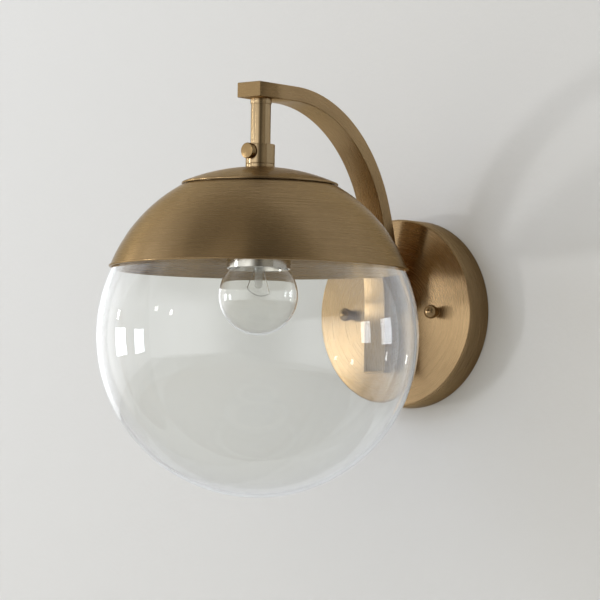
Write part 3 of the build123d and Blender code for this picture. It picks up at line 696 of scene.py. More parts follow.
class NodeShape:
    """A Geometry Nodes tree with named sizes that is run once and baked to a mesh."""

    def __init__(self, name: str, sizes: dict[str, float | int]) -> None:
        """Start a tree with a geometry input and output and an input for each size.

        Args:
            name: the tree's name.
            sizes: name and value of each size, in metres or a whole number.
        """
        self.tree = bpy.data.node_groups.new(name, "GeometryNodeTree")
        face = self.tree.interface
        face.new_socket("Geometry", in_out="INPUT", socket_type="NodeSocketGeometry")
        face.new_socket("Geometry", in_out="OUTPUT", socket_type="NodeSocketGeometry")
        self.values: dict[str, float | int] = {}
        for size, value in sizes.items():
            kind = "NodeSocketInt" if isinstance(value, int) else "NodeSocketFloat"
            socket = face.new_socket(size, in_out="INPUT", socket_type=kind)
            self.values[socket.identifier] = value
        self.given = self.tree.nodes.new("NodeGroupInput").outputs

    def add(self, kind: str, inputs: dict | None = None, **settings: object) -> bpy.types.Node:
        """Add a node to this tree, as add_node does."""
        return add_node(self.tree, kind, inputs, **settings)

    def close(self, result: Feed, finish: bpy.types.Material) -> None:
        """Realise the result, set its material and lead it out.

        Args:
            result: geometry that the tree has made.
            finish: its material.
        """
        real = self.add("GeometryNodeRealizeInstances", {"Geometry": result})
        dressed = self.add("GeometryNodeSetMaterial", {"Geometry": real, "Material": finish})
        self.add("NodeGroupOutput", {"Geometry": dressed})

    def bake(self, name: str, start: bpy.types.ID | None = None) -> bpy.types.Mesh:
        """Run the tree on an object with this data and return a plain mesh.

        Args:
            name: name of the mesh.
            start: curve data that the tree starts from, where it needs any.

        Returns:
            The evaluated mesh, in the start data's own coordinates.
        """
        holder = add_object(name + "_holder", start or bpy.data.meshes.new("empty"))
        modifier = holder.modifiers.new("shape", "NODES")
        modifier.node_group = self.tree
        for identifier, value in self.values.items():
            modifier[identifier] = value
        graph = bpy.context.evaluated_depsgraph_get()
        mesh = bpy.data.meshes.new_from_object(
            holder.evaluated_get(graph), preserve_all_data_layers=True, depsgraph=graph)
        holder.modifiers.remove(modifier)
        bpy.data.objects.remove(holder)
        mesh.name = name
        return mesh


def poly_path(name: str, points: list[Vector]) -> bpy.types.Curve:
    """Curve data of one open poly spline.

    Args:
        name: name of the data.
        points: the spline's points, in metres.

    Returns:
        The new curve.
    """
    curve = bpy.data.curves.new(name, "CURVE")
    curve.dimensions = "3D"
    spline = curve.splines.new("POLY")
    spline.points.add(len(points) - 1)
    for held, point in zip(spline.points, points):
        held.co = (*point, 1.0)
    return curve


def thread_shape(
    finish: bpy.types.Material, radius: float, pitch: float, turns: float, depth: float
) -> NodeShape:
    """Tree of a screw thread: a ridge swept along a helix.

    Args:
        finish: material of the thread.
        radius: root radius of the thread, in millimetres.
        pitch: rise of one turn.
        turns: number of turns.
        depth: how far the ridge stands out.

    Returns:
        The tree. Its geometry input isn't used.
    """
    shape = NodeShape("screw_thread", {
        "Radius": radius * MM, "Pitch": pitch * MM, "Turns": turns, "Depth": depth * MM})
    rise = shape.add("ShaderNodeMath", {
        0: shape.given["Pitch"], 1: shape.given["Turns"]}, operation="MULTIPLY")
    helix = shape.add("GeometryNodeCurveSpiral", {
        "Resolution": 48, "Rotations": shape.given["Turns"], "Start Radius": shape.given["Radius"],
        "End Radius": shape.given["Radius"], "Height": rise})
    ridge = shape.add("GeometryNodeCurvePrimitiveCircle", {
        "Resolution": 8, "Radius": shape.given["Depth"]}, mode="RADIUS")
    swept = shape.add("GeometryNodeCurveToMesh", {
        "Curve": helix, "Profile Curve": ridge, "Fill Caps": True})
    shape.close(swept, finish)
    return shape


def bar_shape(finish: bpy.types.Material, wide: float, thick: float, edge: float) -> NodeShape:
    """Tree of a flat bar: a rounded rectangle swept along the start curve.

    Args:
        finish: material of the bar.
        wide: the bar's width, in millimetres.
        thick: its thickness.
        edge: radius of its long edges.

    Returns:
        The tree. The skin has a UV map "brush": distance along, and distance across.
    """
    shape = NodeShape("bent_bar", {
        "Width": wide * MM, "Thickness": thick * MM, "Edge Radius": edge * MM})
    run = shape.add("GeometryNodeSplineParameter")
    path = shape.add("GeometryNodeStoreNamedAttribute", {
        "Geometry": shape.given["Geometry"], "Name": "run", "Value": run.outputs["Length"]},
        data_type="FLOAT", domain="POINT")
    box = shape.add("GeometryNodeCurvePrimitiveQuadrilateral", {
        "Width": shape.given["Width"], "Height": shape.given["Thickness"]}, mode="RECTANGLE")
    eased_box = shape.add("GeometryNodeFilletCurve", {
        "Curve": box, "Count": 5, "Radius": shape.given["Edge Radius"], "Limit Radius": True},
        mode="POLY")
    where = shape.add("ShaderNodeSeparateXYZ", {"Vector": shape.add("GeometryNodeInputPosition")})
    across = shape.add("ShaderNodeMath", {
        0: where.outputs["X"], 1: where.outputs["Y"]}, operation="ADD")
    section = shape.add("GeometryNodeStoreNamedAttribute", {
        "Geometry": eased_box, "Name": "across", "Value": across},
        data_type="FLOAT", domain="POINT")
    swept = shape.add("GeometryNodeCurveToMesh", {
        "Curve": path, "Profile Curve": section, "Fill Caps": False})
    kept_run, kept_across = (
        shape.add("GeometryNodeInputNamedAttribute", {"Name": kept}, data_type="FLOAT")
        for kept in ("run", "across"))
    brush = shape.add("ShaderNodeCombineXYZ", {"X": kept_run, "Y": kept_across})
    mapped = shape.add("GeometryNodeStoreNamedAttribute", {
        "Geometry": swept, "Name": "brush", "Value": brush}, data_type="FLOAT2", domain="CORNER")
    shape.close(mapped, finish)
    return shape


def screw_ring_shape(
    finish: bpy.types.Material, count: int, ring: float, height: float, radius: float,
    length: float, slot: Triple
) -> NodeShape:
    """Tree of slotted screws set evenly round the lamp's axis.

    Args:
        finish: material of the screws.
        count: number of screws.
        ring: distance of the screws' inner ends from the axis, in millimetres.
        height: their height.
        radius: radius of a screw.
        length: length of a screw.
        slot: sides of the block that cuts the slot.

    Returns:
        The tree. Its geometry input isn't used.
    """
    shape = NodeShape("ring_of_screws", {
        "Count": count, "Ring Radius": (ring + length / 2) * MM, "Screw Radius": radius * MM,
        "Screw Length": length * MM, "Height": height * MM})
    spots = shape.add("GeometryNodeMeshCircle", {
        "Vertices": shape.given["Count"], "Radius": shape.given["Ring Radius"]})
    rod = shape.add("GeometryNodeMeshCylinder", {
        "Vertices": 32, "Side Segments": 3, "Fill Segments": 1,
        "Radius": shape.given["Screw Radius"], "Depth": shape.given["Screw Length"]})
    half = shape.add("ShaderNodeMath", {
        0: shape.given["Screw Length"], 1: 0.5}, operation="MULTIPLY")
    end = shape.add("ShaderNodeCombineXYZ", {"Z": half})
    cutter = shape.add("GeometryNodeMeshCube", {"Size": tuple(side * MM for side in slot)})
    cut_at = shape.add("GeometryNodeTransform", {"Geometry": cutter, "Translation": end})
    slotted = shape.add("GeometryNodeMeshBoolean", {
        "Mesh 1": rod, "Mesh 2": cut_at}, operation="DIFFERENCE")
    out = shape.add("GeometryNodeInputPosition")
    facing = shape.add("FunctionNodeAlignEulerToVector", {"Vector": out}, axis="Z")
    set_round = shape.add("GeometryNodeInstanceOnPoints", {
        "Points": spots, "Instance": slotted, "Rotation": facing})
    lift = shape.add("ShaderNodeCombineXYZ", {"Z": shape.given["Height"]})
    to_the_room = shape.add("GeometryNodeTransform", {
        "Geometry": set_round, "Translation": lift, "Rotation": (0.0, 0.0, math.radians(-90))})
    shape.close(to_the_room, finish)
    return shape


def coil_shape(finish: bpy.types.Material, coil: float, wire: float, turns: int) -> NodeShape:
    """Tree of a coiled wire that follows the start curve.

    Args:
        finish: material of the wire.
        coil: radius of the coil, in millimetres, or 0 for a straight wire.
        wire: radius of the wire.
        turns: turns along the whole curve.

    Returns:
        The tree.
    """
    shape = NodeShape("coiled_wire", {
        "Coil Radius": coil * MM, "Wire Radius": wire * MM, "Turns": turns})
    steps_a_turn = 10.0
    count = shape.add("ShaderNodeMath", {
        0: shape.given["Turns"], 1: steps_a_turn}, operation="MULTIPLY")
    fine = shape.add("GeometryNodeResampleCurve", {
        "Curve": shape.given["Geometry"], "Count": count})
    whole_turn = shape.add("ShaderNodeMath", {
        0: shape.given["Turns"], 1: 2 * math.pi}, operation="MULTIPLY")
    turn = shape.add("ShaderNodeMath", {
        0: shape.add("GeometryNodeSplineParameter"), 1: whole_turn}, operation="MULTIPLY")
    normal = shape.add("GeometryNodeInputNormal")
    run = shape.add("GeometryNodeInputTangent")
    side = shape.add("ShaderNodeVectorMath", {0: normal, 1: run}, operation="CROSS_PRODUCT")
    shares = [
        shape.add("ShaderNodeVectorMath", {
            0: way, "Scale": shape.add("ShaderNodeMath", {0: turn}, operation=wave)},
            operation="SCALE")
        for way, wave in ((normal, "COSINE"), (side, "SINE"))]
    spoke = shape.add("ShaderNodeVectorMath", {0: shares[0], 1: shares[1]}, operation="ADD")
    offset = shape.add("ShaderNodeVectorMath", {
        0: spoke, "Scale": shape.given["Coil Radius"]}, operation="SCALE")
    wound = shape.add("GeometryNodeSetPosition", {"Geometry": fine, "Offset": offset})
    round_wire = shape.add("GeometryNodeCurvePrimitiveCircle", {
        "Resolution": 6, "Radius": shape.given["Wire Radius"]}, mode="RADIUS")
    swept = shape.add("GeometryNodeCurveToMesh", {
        "Curve": wound, "Profile Curve": round_wire, "Fill Caps": True})
    shape.close(swept, finish)
    return shape


@dataclass(frozen=True)
class ThreadedRod:
    """Rod or pipe with its thread drawn on it."""

    name: str
    radius: float              # over the crests
    bore: float                # 0 for a solid rod
    low: float
    high: float
    pitch: float
    deep: float
    soft: tuple[float, float, float, float]   # rounding of the bore's foot, then on round
    segments: int

    def meshes(self, place: Matrix, finish: bpy.types.Material) -> list[bpy.types.Mesh]:
        """Build the rod's core and its thread.

        Args:
            place: the rod's axis.
            finish: material of the rod.

        Returns:
            The two meshes, in the row frame.
        """
        root = self.radius - self.deep
        core = turned(f"{self.name}_core", eased([
            (self.bore, self.low, self.soft[0]), (root, self.low, self.soft[1]),
            (root, self.high, self.soft[2]), (self.bore, self.high, self.soft[3])]),
            place, finish, self.segments)
        mesh = core.data
        bpy.data.objects.remove(core)
        turns = (self.high - self.low - 2 * THREAD_RUNOUT) / self.pitch
        thread = thread_shape(finish, root, self.pitch, turns, self.deep - CREST_SHY).bake(
            f"{self.name}_thread")
        thread.transform(place @ Matrix.Translation((0, 0, (self.low + THREAD_RUNOUT) * MM)))
        return [mesh, thread]


# ---- backplate and wall fixing -------------------------------------------------------------


@dataclass
class WallFixing:
    """Backplate, its two ball nuts with washers, and the strap behind it."""

    finishes: Finishes
    plate_r: float = 62.5
    plate_depth: float = 19.4
    plate_wall: float = 1.2
    plate_edge: float = 1.5
    stud_r: float = 2.08
    stud_end: float = 27.0
    stud_pitch: float = 0.79
    stud_thread: float = 0.18
    washer_r: float = 3.3
    washer_h: float = 1.5
    ball_r: float = 4.5
    ball_at: float = 26.0
    ball_bore: float = 6.9
    neck_r: float = 2.9

    def build(self) -> None:
        """Build and dress all its pieces."""
        self.backplate()
        for side, across in (("left", -STUD_X), ("right", STUD_X)):
            self.washer(side, across)
            self.ball_nut(side, across)
        self.studs()
        dress(self.finishes.zinc, "wall_strap", "stud_lock_nuts")
        dress(self.finishes.ground_green, "ground_screw")

    def backplate(self) -> None:
        """Round pan with a rolled front edge, open to the wall."""
        inner = self.plate_r - self.plate_wall
        back = self.plate_depth - self.plate_wall
        section = eased([
            (PIPE_HOLE_R, back, 0), (PIPE_HOLE_R, self.plate_depth, 0),
            (self.plate_r, self.plate_depth, self.plate_edge), (self.plate_r, 0, 0.15),
            (inner, 0, 0.15), (inner, back, 0.3)], steps=8)
        piece = turned("backplate_pan", section, out_of_wall(), self.finishes.faced, 224)
        stand_in(piece, "brushed_brass", "backplate")

    def washer(self, side: str, across: float) -> None:
        """Small turned washer under a ball nut.

        Args:
            side: "left" or "right".
            across: the stud's place across the wall.
        """
        low, high, bore = self.plate_depth, self.plate_depth + self.washer_h, self.stud_r + FIT
        turned_brass(f"{side}_nut_washer", f"{side}_washer_turned", [
            (bore, low, 0), (bore, high, 0.1), (self.washer_r, high, 0.4),
            (self.washer_r, low, 0.1)], out_of_wall(across), self.finishes.nut_brass[side], 48)

    def ball_nut(self, side: str, across: float) -> None:
        """Ball nut with its short neck and the bore for the stud.

        Args:
            side: "left" or "right".
            across: the stud's place across the wall.
        """
        base = self.plate_depth + self.washer_h
        drop = math.degrees(math.asin(self.neck_r / self.ball_r))
        ball = arc((0, self.ball_at), self.ball_r, 90, drop - 90, 28)
        bore, end = self.stud_r + FIT, base + self.ball_bore
        turned_brass(f"{side}_ball_nut", f"{side}_ball_nut_turned", [
            (0, end, 0), (bore, end, 0), (bore, base, 0.1), (self.neck_r, base, 0.15),
            *[(out, up, 0.0) for out, up in reversed(ball)]],
            out_of_wall(across), self.finishes.nut_brass[side], 56)

    def studs(self) -> None:
        """The two threaded studs of the strap."""
        stud = ThreadedRod(
            "stud", self.stud_r, 0.0, 0.0, self.stud_end, self.stud_pitch, self.stud_thread,
            (0.0, 0.0, 0.35, 0.0), 32)
        meshes = []
        for across in (-STUD_X, STUD_X):
            meshes += stud.meshes(out_of_wall(across), self.finishes.zinc)
        piece = joined("strap_studs_threaded", meshes, self.finishes.zinc)
        stand_in(piece, "zinc_steel", "strap_studs")


# ---- arm -----------------------------------------------------------------------------------


@dataclass
class Arm:
    """Bent flat tube from the backplate over the globe to the stem, and how it is fixed."""

    finishes: Finishes
    wide: float = 19.0
    thick: float = 9.5
    wall: float = 1.2
    edge: float = 0.7
    mid_height: float = 134.154
    front: float = -171.5
    foot: float = -41.0
    upright_y: float = -32.45
    end_plate: float = 1.2
    end_bevel: float = 0.22
    first_centre: Point = (-135.0, 37.42)
    first_bend_r: float = 96.734
    first_turn: float = 68.0
    second_centre: Point = (-209.05, 7.5)
    second_bend_r: float = 176.6
    boss_r: float = 7.5
    boss_from: float = 19.4
    boss_to: float = 27.7
    pipe_r: float = 4.86
    pipe_bore_r: float = 3.3
    nipple_from: float = 11.0
    nipple_to: float = 29.3
    thread_pitch: float = 0.94
    thread_deep: float = 0.2

    def build(self) -> None:
        """Build and dress all its pieces."""
        self.bar()
        self.end_plates()
        bore = self.pipe_r + FIT
        turned_brass("standoff_boss", "standoff_boss_turned", [
            (bore, self.boss_from, 0), (bore, self.boss_to, 0), (self.boss_r, self.boss_to, 0.25),
            (self.boss_r, self.boss_from, 0.25)], out_of_wall(), self.finishes.faced, 72)
        self.nipple()
        dress(self.finishes.zinc, "nipple_washer", "nipple_lock_nut")

    def path(self) -> list[Vector]:
        """Middle line of the bar.

        Returns:
            Its points from the nose to the foot, in metres.
        """
        line = [(self.front + self.end_plate, self.mid_height)]
        line += arc(self.first_centre, self.first_bend_r, 90, 90 - self.first_turn, 64)
        line += arc(self.second_centre, self.second_bend_r, 90 - self.first_turn, 0, 40)[1:]
        line += [(self.upright_y, self.foot + self.end_plate)]
        return [Vector((0, y * MM, z * MM)) for y, z in line]

    def bar(self) -> None:
        """The bent tube itself."""
        shape = bar_shape(self.finishes.drawn, self.wide, self.thick, self.edge)
        mesh = shape.bake("bent_bar", poly_path("bar_path", self.path()))
        piece = finish_mesh(mesh, "arm_bent_bar", self.finishes.drawn, crease=40.0)
        hollow = piece.modifiers.new("hollow", "SOLIDIFY")
        hollow.thickness = self.wall * MM
        hollow.offset = -1.0
        stand_in(piece, "brushed_brass", "arm")

    def end_plates(self) -> None:
        """Brazed plates that close the nose and the foot of the bar, in a darker brass tone that is
        painted shade.
        """
        crease = 60.0
        # the end plates' finish is darker than the bar's as painted shade
        shape = bar_shape(self.finishes.brazed_painted_shade, self.wide, self.thick, self.edge)
        nose = [Vector((0, (self.front + deep) * MM, self.mid_height * MM))
                for deep in (0, self.end_plate)]
        foot = [Vector((0, self.upright_y * MM, (self.foot + deep) * MM))
                for deep in (self.end_plate, 0)]
        whole = bmesh.new()
        for ends in (nose, foot):
            whole.from_mesh(shape.bake("end_plate", poly_path("end_path", ends)))
        rims = [edge for edge in whole.edges if edge.is_boundary]
        bmesh.ops.holes_fill(whole, edges=rims, sides=0)
        brush = whole.loops.layers.uv.get("brush")
        for face in whole.faces:
            if len(face.verts) > 4:
                for corner in face.loops:
                    x, y, z = corner.vert.co
                    corner[brush].uv = (x, z if y < self.front * MM / 2 else y)
        bmesh.ops.recalc_face_normals(whole, faces=whole.faces)
        mesh = bpy.data.meshes.new("end_plates")
        whole.to_mesh(mesh)
        whole.free()
        piece = finish_mesh(mesh, "arm_end_plates_brazed", self.finishes.brazed_painted_shade, crease)
        soft = piece.modifiers.new("eased", "BEVEL")
        soft.width = self.end_bevel * MM
        soft.segments = 2
        soft.limit_method = "ANGLE"
        soft.angle_limit = math.radians(crease)
        stand_in(piece, "brushed_brass", "arm_end_plates")

    def nipple(self) -> None:
        """Threaded pipe that holds the arm to the backplate."""
        pipe = ThreadedRod(
            "nipple", self.pipe_r, self.pipe_bore_r, self.nipple_from, self.nipple_to,
            self.thread_pitch, self.thread_deep, (0.2, 0.3, 0.3, 0.2), 64)
        meshes = pipe.meshes(out_of_wall(), self.finishes.zinc)
        piece = joined("arm_nipple_threaded", meshes, self.finishes.zinc)
        stand_in(piece, "zinc_steel", "arm_nipple")


# ---- stem and hood -------------------------------------------------------------------------


@dataclass
class Stem:
    """Stem tube that hangs from the arm, its ring and its lock nuts."""

    finishes: Finishes
    stem_r: float = 6.35
    bore_r: float = 5.2
    low: float = 75.602
    top: float = 125.804
    ring_r: float = 6.75
    ring_top: float = 129.404

    def build(self) -> None:
        """Build and dress all its pieces."""
        turned_brass("stem_tube", "stem_tube_drawn", [
            (self.bore_r, self.low, 0.1), (self.stem_r, self.low, 0.2),
            (self.stem_r, self.top, 0.1), (self.bore_r, self.top, 0.1)],
            on_lamp_axis(), self.finishes.stem_brass)
        turned_brass("arm_ring", "arm_ring_turned", [
            (PIPE_HOLE_R, self.top, 0), (self.ring_r, self.top, 0.2),
            (self.ring_r, self.ring_top, 0.25), (PIPE_HOLE_R, self.ring_top, 0)],
            on_lamp_axis(), self.finishes.stem_brass)
        dress(self.finishes.zinc, "stem_pipe", "fitter_lock_nut", "socket_lock_nut")


@dataclass
class Hood:
    """Hood that slides on the stem: dome, cap, neck bush, swivel collar and thumb screw."""

    finishes: Finishes
    dome_centre: float = -13.5
    dome_in_r: float = 99.275
    sheet: float = 1.0
    rim: float = 21.3
    roll_in: float = 0.2
    roll_r: float = 0.7
    cap_r: float = 49.5
    ledge: float = 73.706
    upstand_in_r: float = 45.0
    upstand_out_r: float = 46.0
    upstand_top: float = 75.5
    crown_r: float = 124.0
    crown_centre: float = -38.186
    cap_low: float = 74.406
    cap_edge_h: float = 1.1
    cap_flat: float = 85.404
    cap_flat_r: float = 10.08
    bush_thread_r: float = 7.6
    slide_bore_r: float = 6.4
    spigot_r: float = 7.95
    spigot_rim_r: float = 8.35
    bush_low: float = 75.602
    collar_r: float = 9.25
    collar_foot: float = 87.704
    spigot_foot_h: float = 1.3
    spigot_top: float = 90.504
    swivel_gap: float = 0.08
    collar_top: float = 100.204
    knob_r: float = 5.0
    knob_from: float = 9.6
    knob_to: float = 13.3
    shank_r: float = 2.0
    thumb_spigot_r: float = 1.4
    thumb_spigot_h: float = 2.7

    def build(self) -> None:
        """Build and dress all its pieces."""
        self.dome()
        self.cap()
        self.bush()
        self.collar()
        self.thumb_screw()
        dress(self.finishes.zinc, "bush_lock_nut")

    def dome(self) -> None:
        """Spun dome: rolled rim, the ball's curve, ledge and upstand."""
        out_r = self.dome_in_r + self.sheet
        centre = (0.0, self.dome_centre)

        def bearing(radius: float, height: float) -> float:
            """Bearing of a height on an arc about the dome's centre."""
            return math.degrees(math.asin((height - self.dome_centre) / radius))

        roll_top = self.rim + 2 * self.roll_r
        outer = arc(centre, out_r, bearing(out_r, roll_top), bearing(out_r, self.ledge), 72)
        under = self.ledge - self.sheet
        inner = arc(centre, self.dome_in_r, bearing(self.dome_in_r, under),
                    bearing(self.dome_in_r, self.rim), 72)
        rim_out = math.sqrt(out_r**2 - (self.rim - self.dome_centre) ** 2)
        roll = arc((rim_out - self.roll_in, self.rim + self.roll_r), self.roll_r, -90, 60, 8)
        upstand = eased_open([
            (self.upstand_out_r, self.ledge, 0.3), (self.upstand_out_r, self.upstand_top, 0.15),
            (self.upstand_in_r, self.upstand_top, 0.15), (self.upstand_in_r, under, 0.3)])
        piece = turned("dome_spun_shell", [*roll, *outer, *upstand, *inner], on_lamp_axis(),
                       self.finishes.spun, 256)
        stand_in(piece, "brushed_brass", "dome")

    def cap(self) -> None:
        """Shallow spun cap over the dome's upstand."""
        centre = (0.0, self.crown_centre)
        in_r = self.crown_r - self.sheet
        edge_top = self.cap_low + self.cap_edge_h

        def bearing(radius: float, out: float) -> float:
            """Bearing of a distance from the axis on an arc about the crown's centre."""
            return math.degrees(math.acos(out / radius))

        seat = self.cap_flat - self.sheet
        outer = arc(centre, self.crown_r, bearing(self.crown_r, self.cap_flat_r),
                    bearing(self.crown_r, self.cap_r), 40)
        seat_r = math.sqrt(in_r**2 - (seat - self.crown_centre) ** 2)
        inner = arc(centre, in_r, bearing(in_r, self.cap_r - self.sheet), bearing(in_r, seat_r), 40)
        hole = self.bush_thread_r + FIT
        turned_brass("top_cap", "top_cap_spun", [
            (hole, self.cap_flat, 0), *[(out, up, 0.0) for out, up in outer[:-1]],
            (self.cap_r, edge_top, 0.55), (self.cap_r, self.cap_low, 0.15),
            (self.cap_r - self.sheet, self.cap_low, 0.15), *[(out, up, 0.0) for out, up in inner],
            (hole, seat, 0)], on_lamp_axis(), self.finishes.spun, 224)

    def bush(self) -> None:
        """Neck bush screwed into the cap, with the spigot that the collar turns on."""
        foot, lip = self.collar_foot, self.collar_foot + self.spigot_foot_h
        turned_brass("neck_bush", "neck_bush_turned", [
            (self.slide_bore_r, self.bush_low, 0.1), (self.bush_thread_r, self.bush_low, 0.2),
            (self.bush_thread_r, self.cap_flat, 0), (self.collar_r, self.cap_flat, 0.1),
            (self.collar_r, foot, 0.25), (self.spigot_r, foot, 0), (self.spigot_r, lip, 0),
            (self.spigot_rim_r, lip, 0), (self.spigot_rim_r, self.spigot_top, 0.1),
            (self.slide_bore_r, self.spigot_top, 0.1)], on_lamp_axis(), self.finishes.stem_brass)

    def collar(self) -> None:
        """Swivel collar that carries the thumb screw."""
        gap = self.swivel_gap
        foot = self.collar_foot + gap
        groove_low = self.collar_foot + self.spigot_foot_h - gap
        groove_top = self.spigot_top + gap
        turned_brass("collar", "swivel_collar_turned", [
            (self.spigot_r + gap, foot, 0), (self.collar_r, foot, 0.2),
            (self.collar_r, self.collar_top, 0.45), (self.slide_bore_r, self.collar_top, 0.1),
            (self.slide_bore_r, groove_top, 0), (self.spigot_rim_r + gap, groove_top, 0),
            (self.spigot_rim_r + gap, groove_low, 0), (self.spigot_r + gap, groove_low, 0)],
            on_lamp_axis(), self.finishes.stem_brass)

    def thumb_screw(self) -> None:
        """Thumb screw: shank with its spigot, and the round knob pressed on it."""
        place = out_of_wall(0.0, REACH, THUMB_HEIGHT)
        neck = self.knob_from - FIT
        # the thumb screw's finish is darker than the other brass as painted shade
        turned_brass("thumb_screw_shank", "thumb_screw_shank_turned", [
            (0, self.slide_bore_r, 0), (self.shank_r, self.slide_bore_r, 0.3),
            (self.shank_r, neck, 0), (self.thumb_spigot_r, neck, 0),
            (self.thumb_spigot_r, neck + self.thumb_spigot_h, 0.1),
            (0, neck + self.thumb_spigot_h, 0)], place, self.finishes.knob_brass_painted_shade, 40)
        bore, bore_end = self.thumb_spigot_r + FIT, self.knob_from + self.thumb_spigot_h
        turned_brass("thumb_screw_knob", "thumb_screw_knob_turned", [
            (0, self.knob_to, 0), (self.knob_r, self.knob_to, 0.5),
            (self.knob_r, self.knob_from, 0.5), (bore, self.knob_from, 0.1), (bore, bore_end, 0),
            (0, bore_end, 0)], place, self.finishes.knob_brass_painted_shade, 72)


# ---- globe and fitter ----------------------------------------------------------------------


@dataclass
class GlobeAndFitter:
    """Blown globe with its rolled lip, hung by three screws in the fitter's skirt."""

    finishes: Finishes
    globe_centre: float = -21.0
    globe_r: float = 101.6
    glass: float = 2.5
    slope: float = 10.0
    shoulder_bend_r: float = 25.0
    shoulder_clear: float = 1.6
    neck_r: float = 37.0
    neck_bend_r: float = 3.0
    lip_r: float = 39.7
    lip_thick: float = 2.5
    lip_top: float = 73.402
    skirt_in_r: float = 40.3
    skirt_out_r: float = 41.5
    skirt_low: float = 66.002
    disc_under: float = 74.402
    fitter_top: float = 75.602
    screw_height: float = 68.952
    screw_r: float = 1.75
    screw_in: float = 37.2
    screw_long: float = 5.8
    screw_slot: Triple = (8.0, 0.7, 1.6)
    screw_count: int = 3

    def build(self) -> None:
        """Build and dress all its pieces."""
        self.globe()
        turned_brass("glass_fitter", "glass_fitter_spun", [
            (PIPE_HOLE_R, self.fitter_top, 0), (self.skirt_out_r, self.fitter_top, 1.0),
            (self.skirt_out_r, self.skirt_low, 0.3), (self.skirt_in_r, self.skirt_low, 0.3),
            (self.skirt_in_r, self.disc_under, 0.4), (PIPE_HOLE_R, self.disc_under, 0)],
            on_lamp_axis(), self.finishes.spun, 128)
        self.screws()
        dress(self.finishes.silicone, "fitter_gasket")

    def globe(self) -> None:
        """The globe: ball, sloping shoulder, neck and lip, one wall thick."""
        rise, run = math.sin(math.radians(self.slope)), math.cos(math.radians(self.slope))
        under_skirt = self.skirt_low - self.shoulder_clear - self.globe_centre
        off = self.skirt_out_r * rise + under_skirt * run
        inward = off - self.shoulder_bend_r
        outward = math.sqrt((self.globe_r - self.shoulder_bend_r) ** 2 - inward**2)
        bend = (inward * rise + outward * run, self.globe_centre + inward * run - outward * rise)
        bend_from = math.degrees(math.atan2(bend[1] - self.globe_centre, bend[0]))
        neck_out = self.neck_r + self.neck_bend_r
        neck_up = self.globe_centre + (off + self.neck_bend_r - neck_out * rise) / run
        centre = (0.0, self.globe_centre)

        def skin(inset: float) -> list[Point]:
            """Give the ball, shoulder and neck drawn in by an inset.

            Args:
                inset: 0 for the outside, the glass's thickness for the inside.

            Returns:
                The points from the foot up.
            """
            line = arc(centre, self.globe_r - inset, -90, bend_from, 96)
            line += arc(bend, self.shoulder_bend_r - inset, bend_from, 90 - self.slope, 14)[1:]
            line += arc((neck_out, neck_up), self.neck_bend_r + inset, 270 - self.slope, 180, 8)
            return [(0.0, line[0][1]), *line[1:]]

        low_lip, thin = self.lip_top - self.lip_thick, self.neck_r - self.glass
        lip = eased_open([
            (self.neck_r, low_lip, 0.4), (self.lip_r, low_lip, 0.8),
            (self.lip_r, self.lip_top, 0.8), (thin, self.lip_top, 0.6)])
        piece = turned("globe_blown_glass", [*skin(0), *lip, *reversed(skin(self.glass))],
                       on_lamp_axis(), self.finishes.globe, 224)
        piece.visible_shadow = piece.visible_glossy = False
        stand_in(piece, "clear_glass", "glass_globe")

    def screws(self) -> None:
        """The three set screws that hold the globe's lip."""
        shape = screw_ring_shape(
            self.finishes.bare_brass, self.screw_count, self.screw_in, self.screw_height,
            self.screw_r, self.screw_long, self.screw_slot)
        mesh = shape.bake("set_screws")
        mesh.transform(on_lamp_axis())
        piece = finish_mesh(mesh, "set_screws_slotted", self.finishes.bare_brass)
        stand_in(piece, "brushed_brass", "set_screws")


# ---- lamp holder and bulb ------------------------------------------------------------------


@dataclass
class LampHolder:
    """Plated cup, and the porcelain body, screw shell and contacts in it."""

    finishes: Finishes
    cup_r: float = 20.0
    cup_wall: float = 0.8
    cup_low: float = 21.488
    cup_top: float = 71.502

    def build(self) -> None:
        """Build the cup with its rolled lower edge, and dress the rest."""
        inner, under = self.cup_r - self.cup_wall, self.cup_top - self.cup_wall
        section = eased([
            (PIPE_HOLE_R, self.cup_top, 0), (self.cup_r, self.cup_top, 1.2),
            (self.cup_r, self.cup_low, 0.35), (inner, self.cup_low, 0.35), (inner, under, 0.6),
            (PIPE_HOLE_R, under, 0)])
        piece = turned("socket_cup_plated", section, on_lamp_axis(), self.finishes.nickel, 128)
        stand_in(piece, "polished_nickel", "socket_cup")
        dress(self.finishes.porcelain, "socket_body")
        dress(self.finishes.bare_brass, "socket_contact", "terminal_screws")
        dress(self.finishes.nickel, "socket_shell")


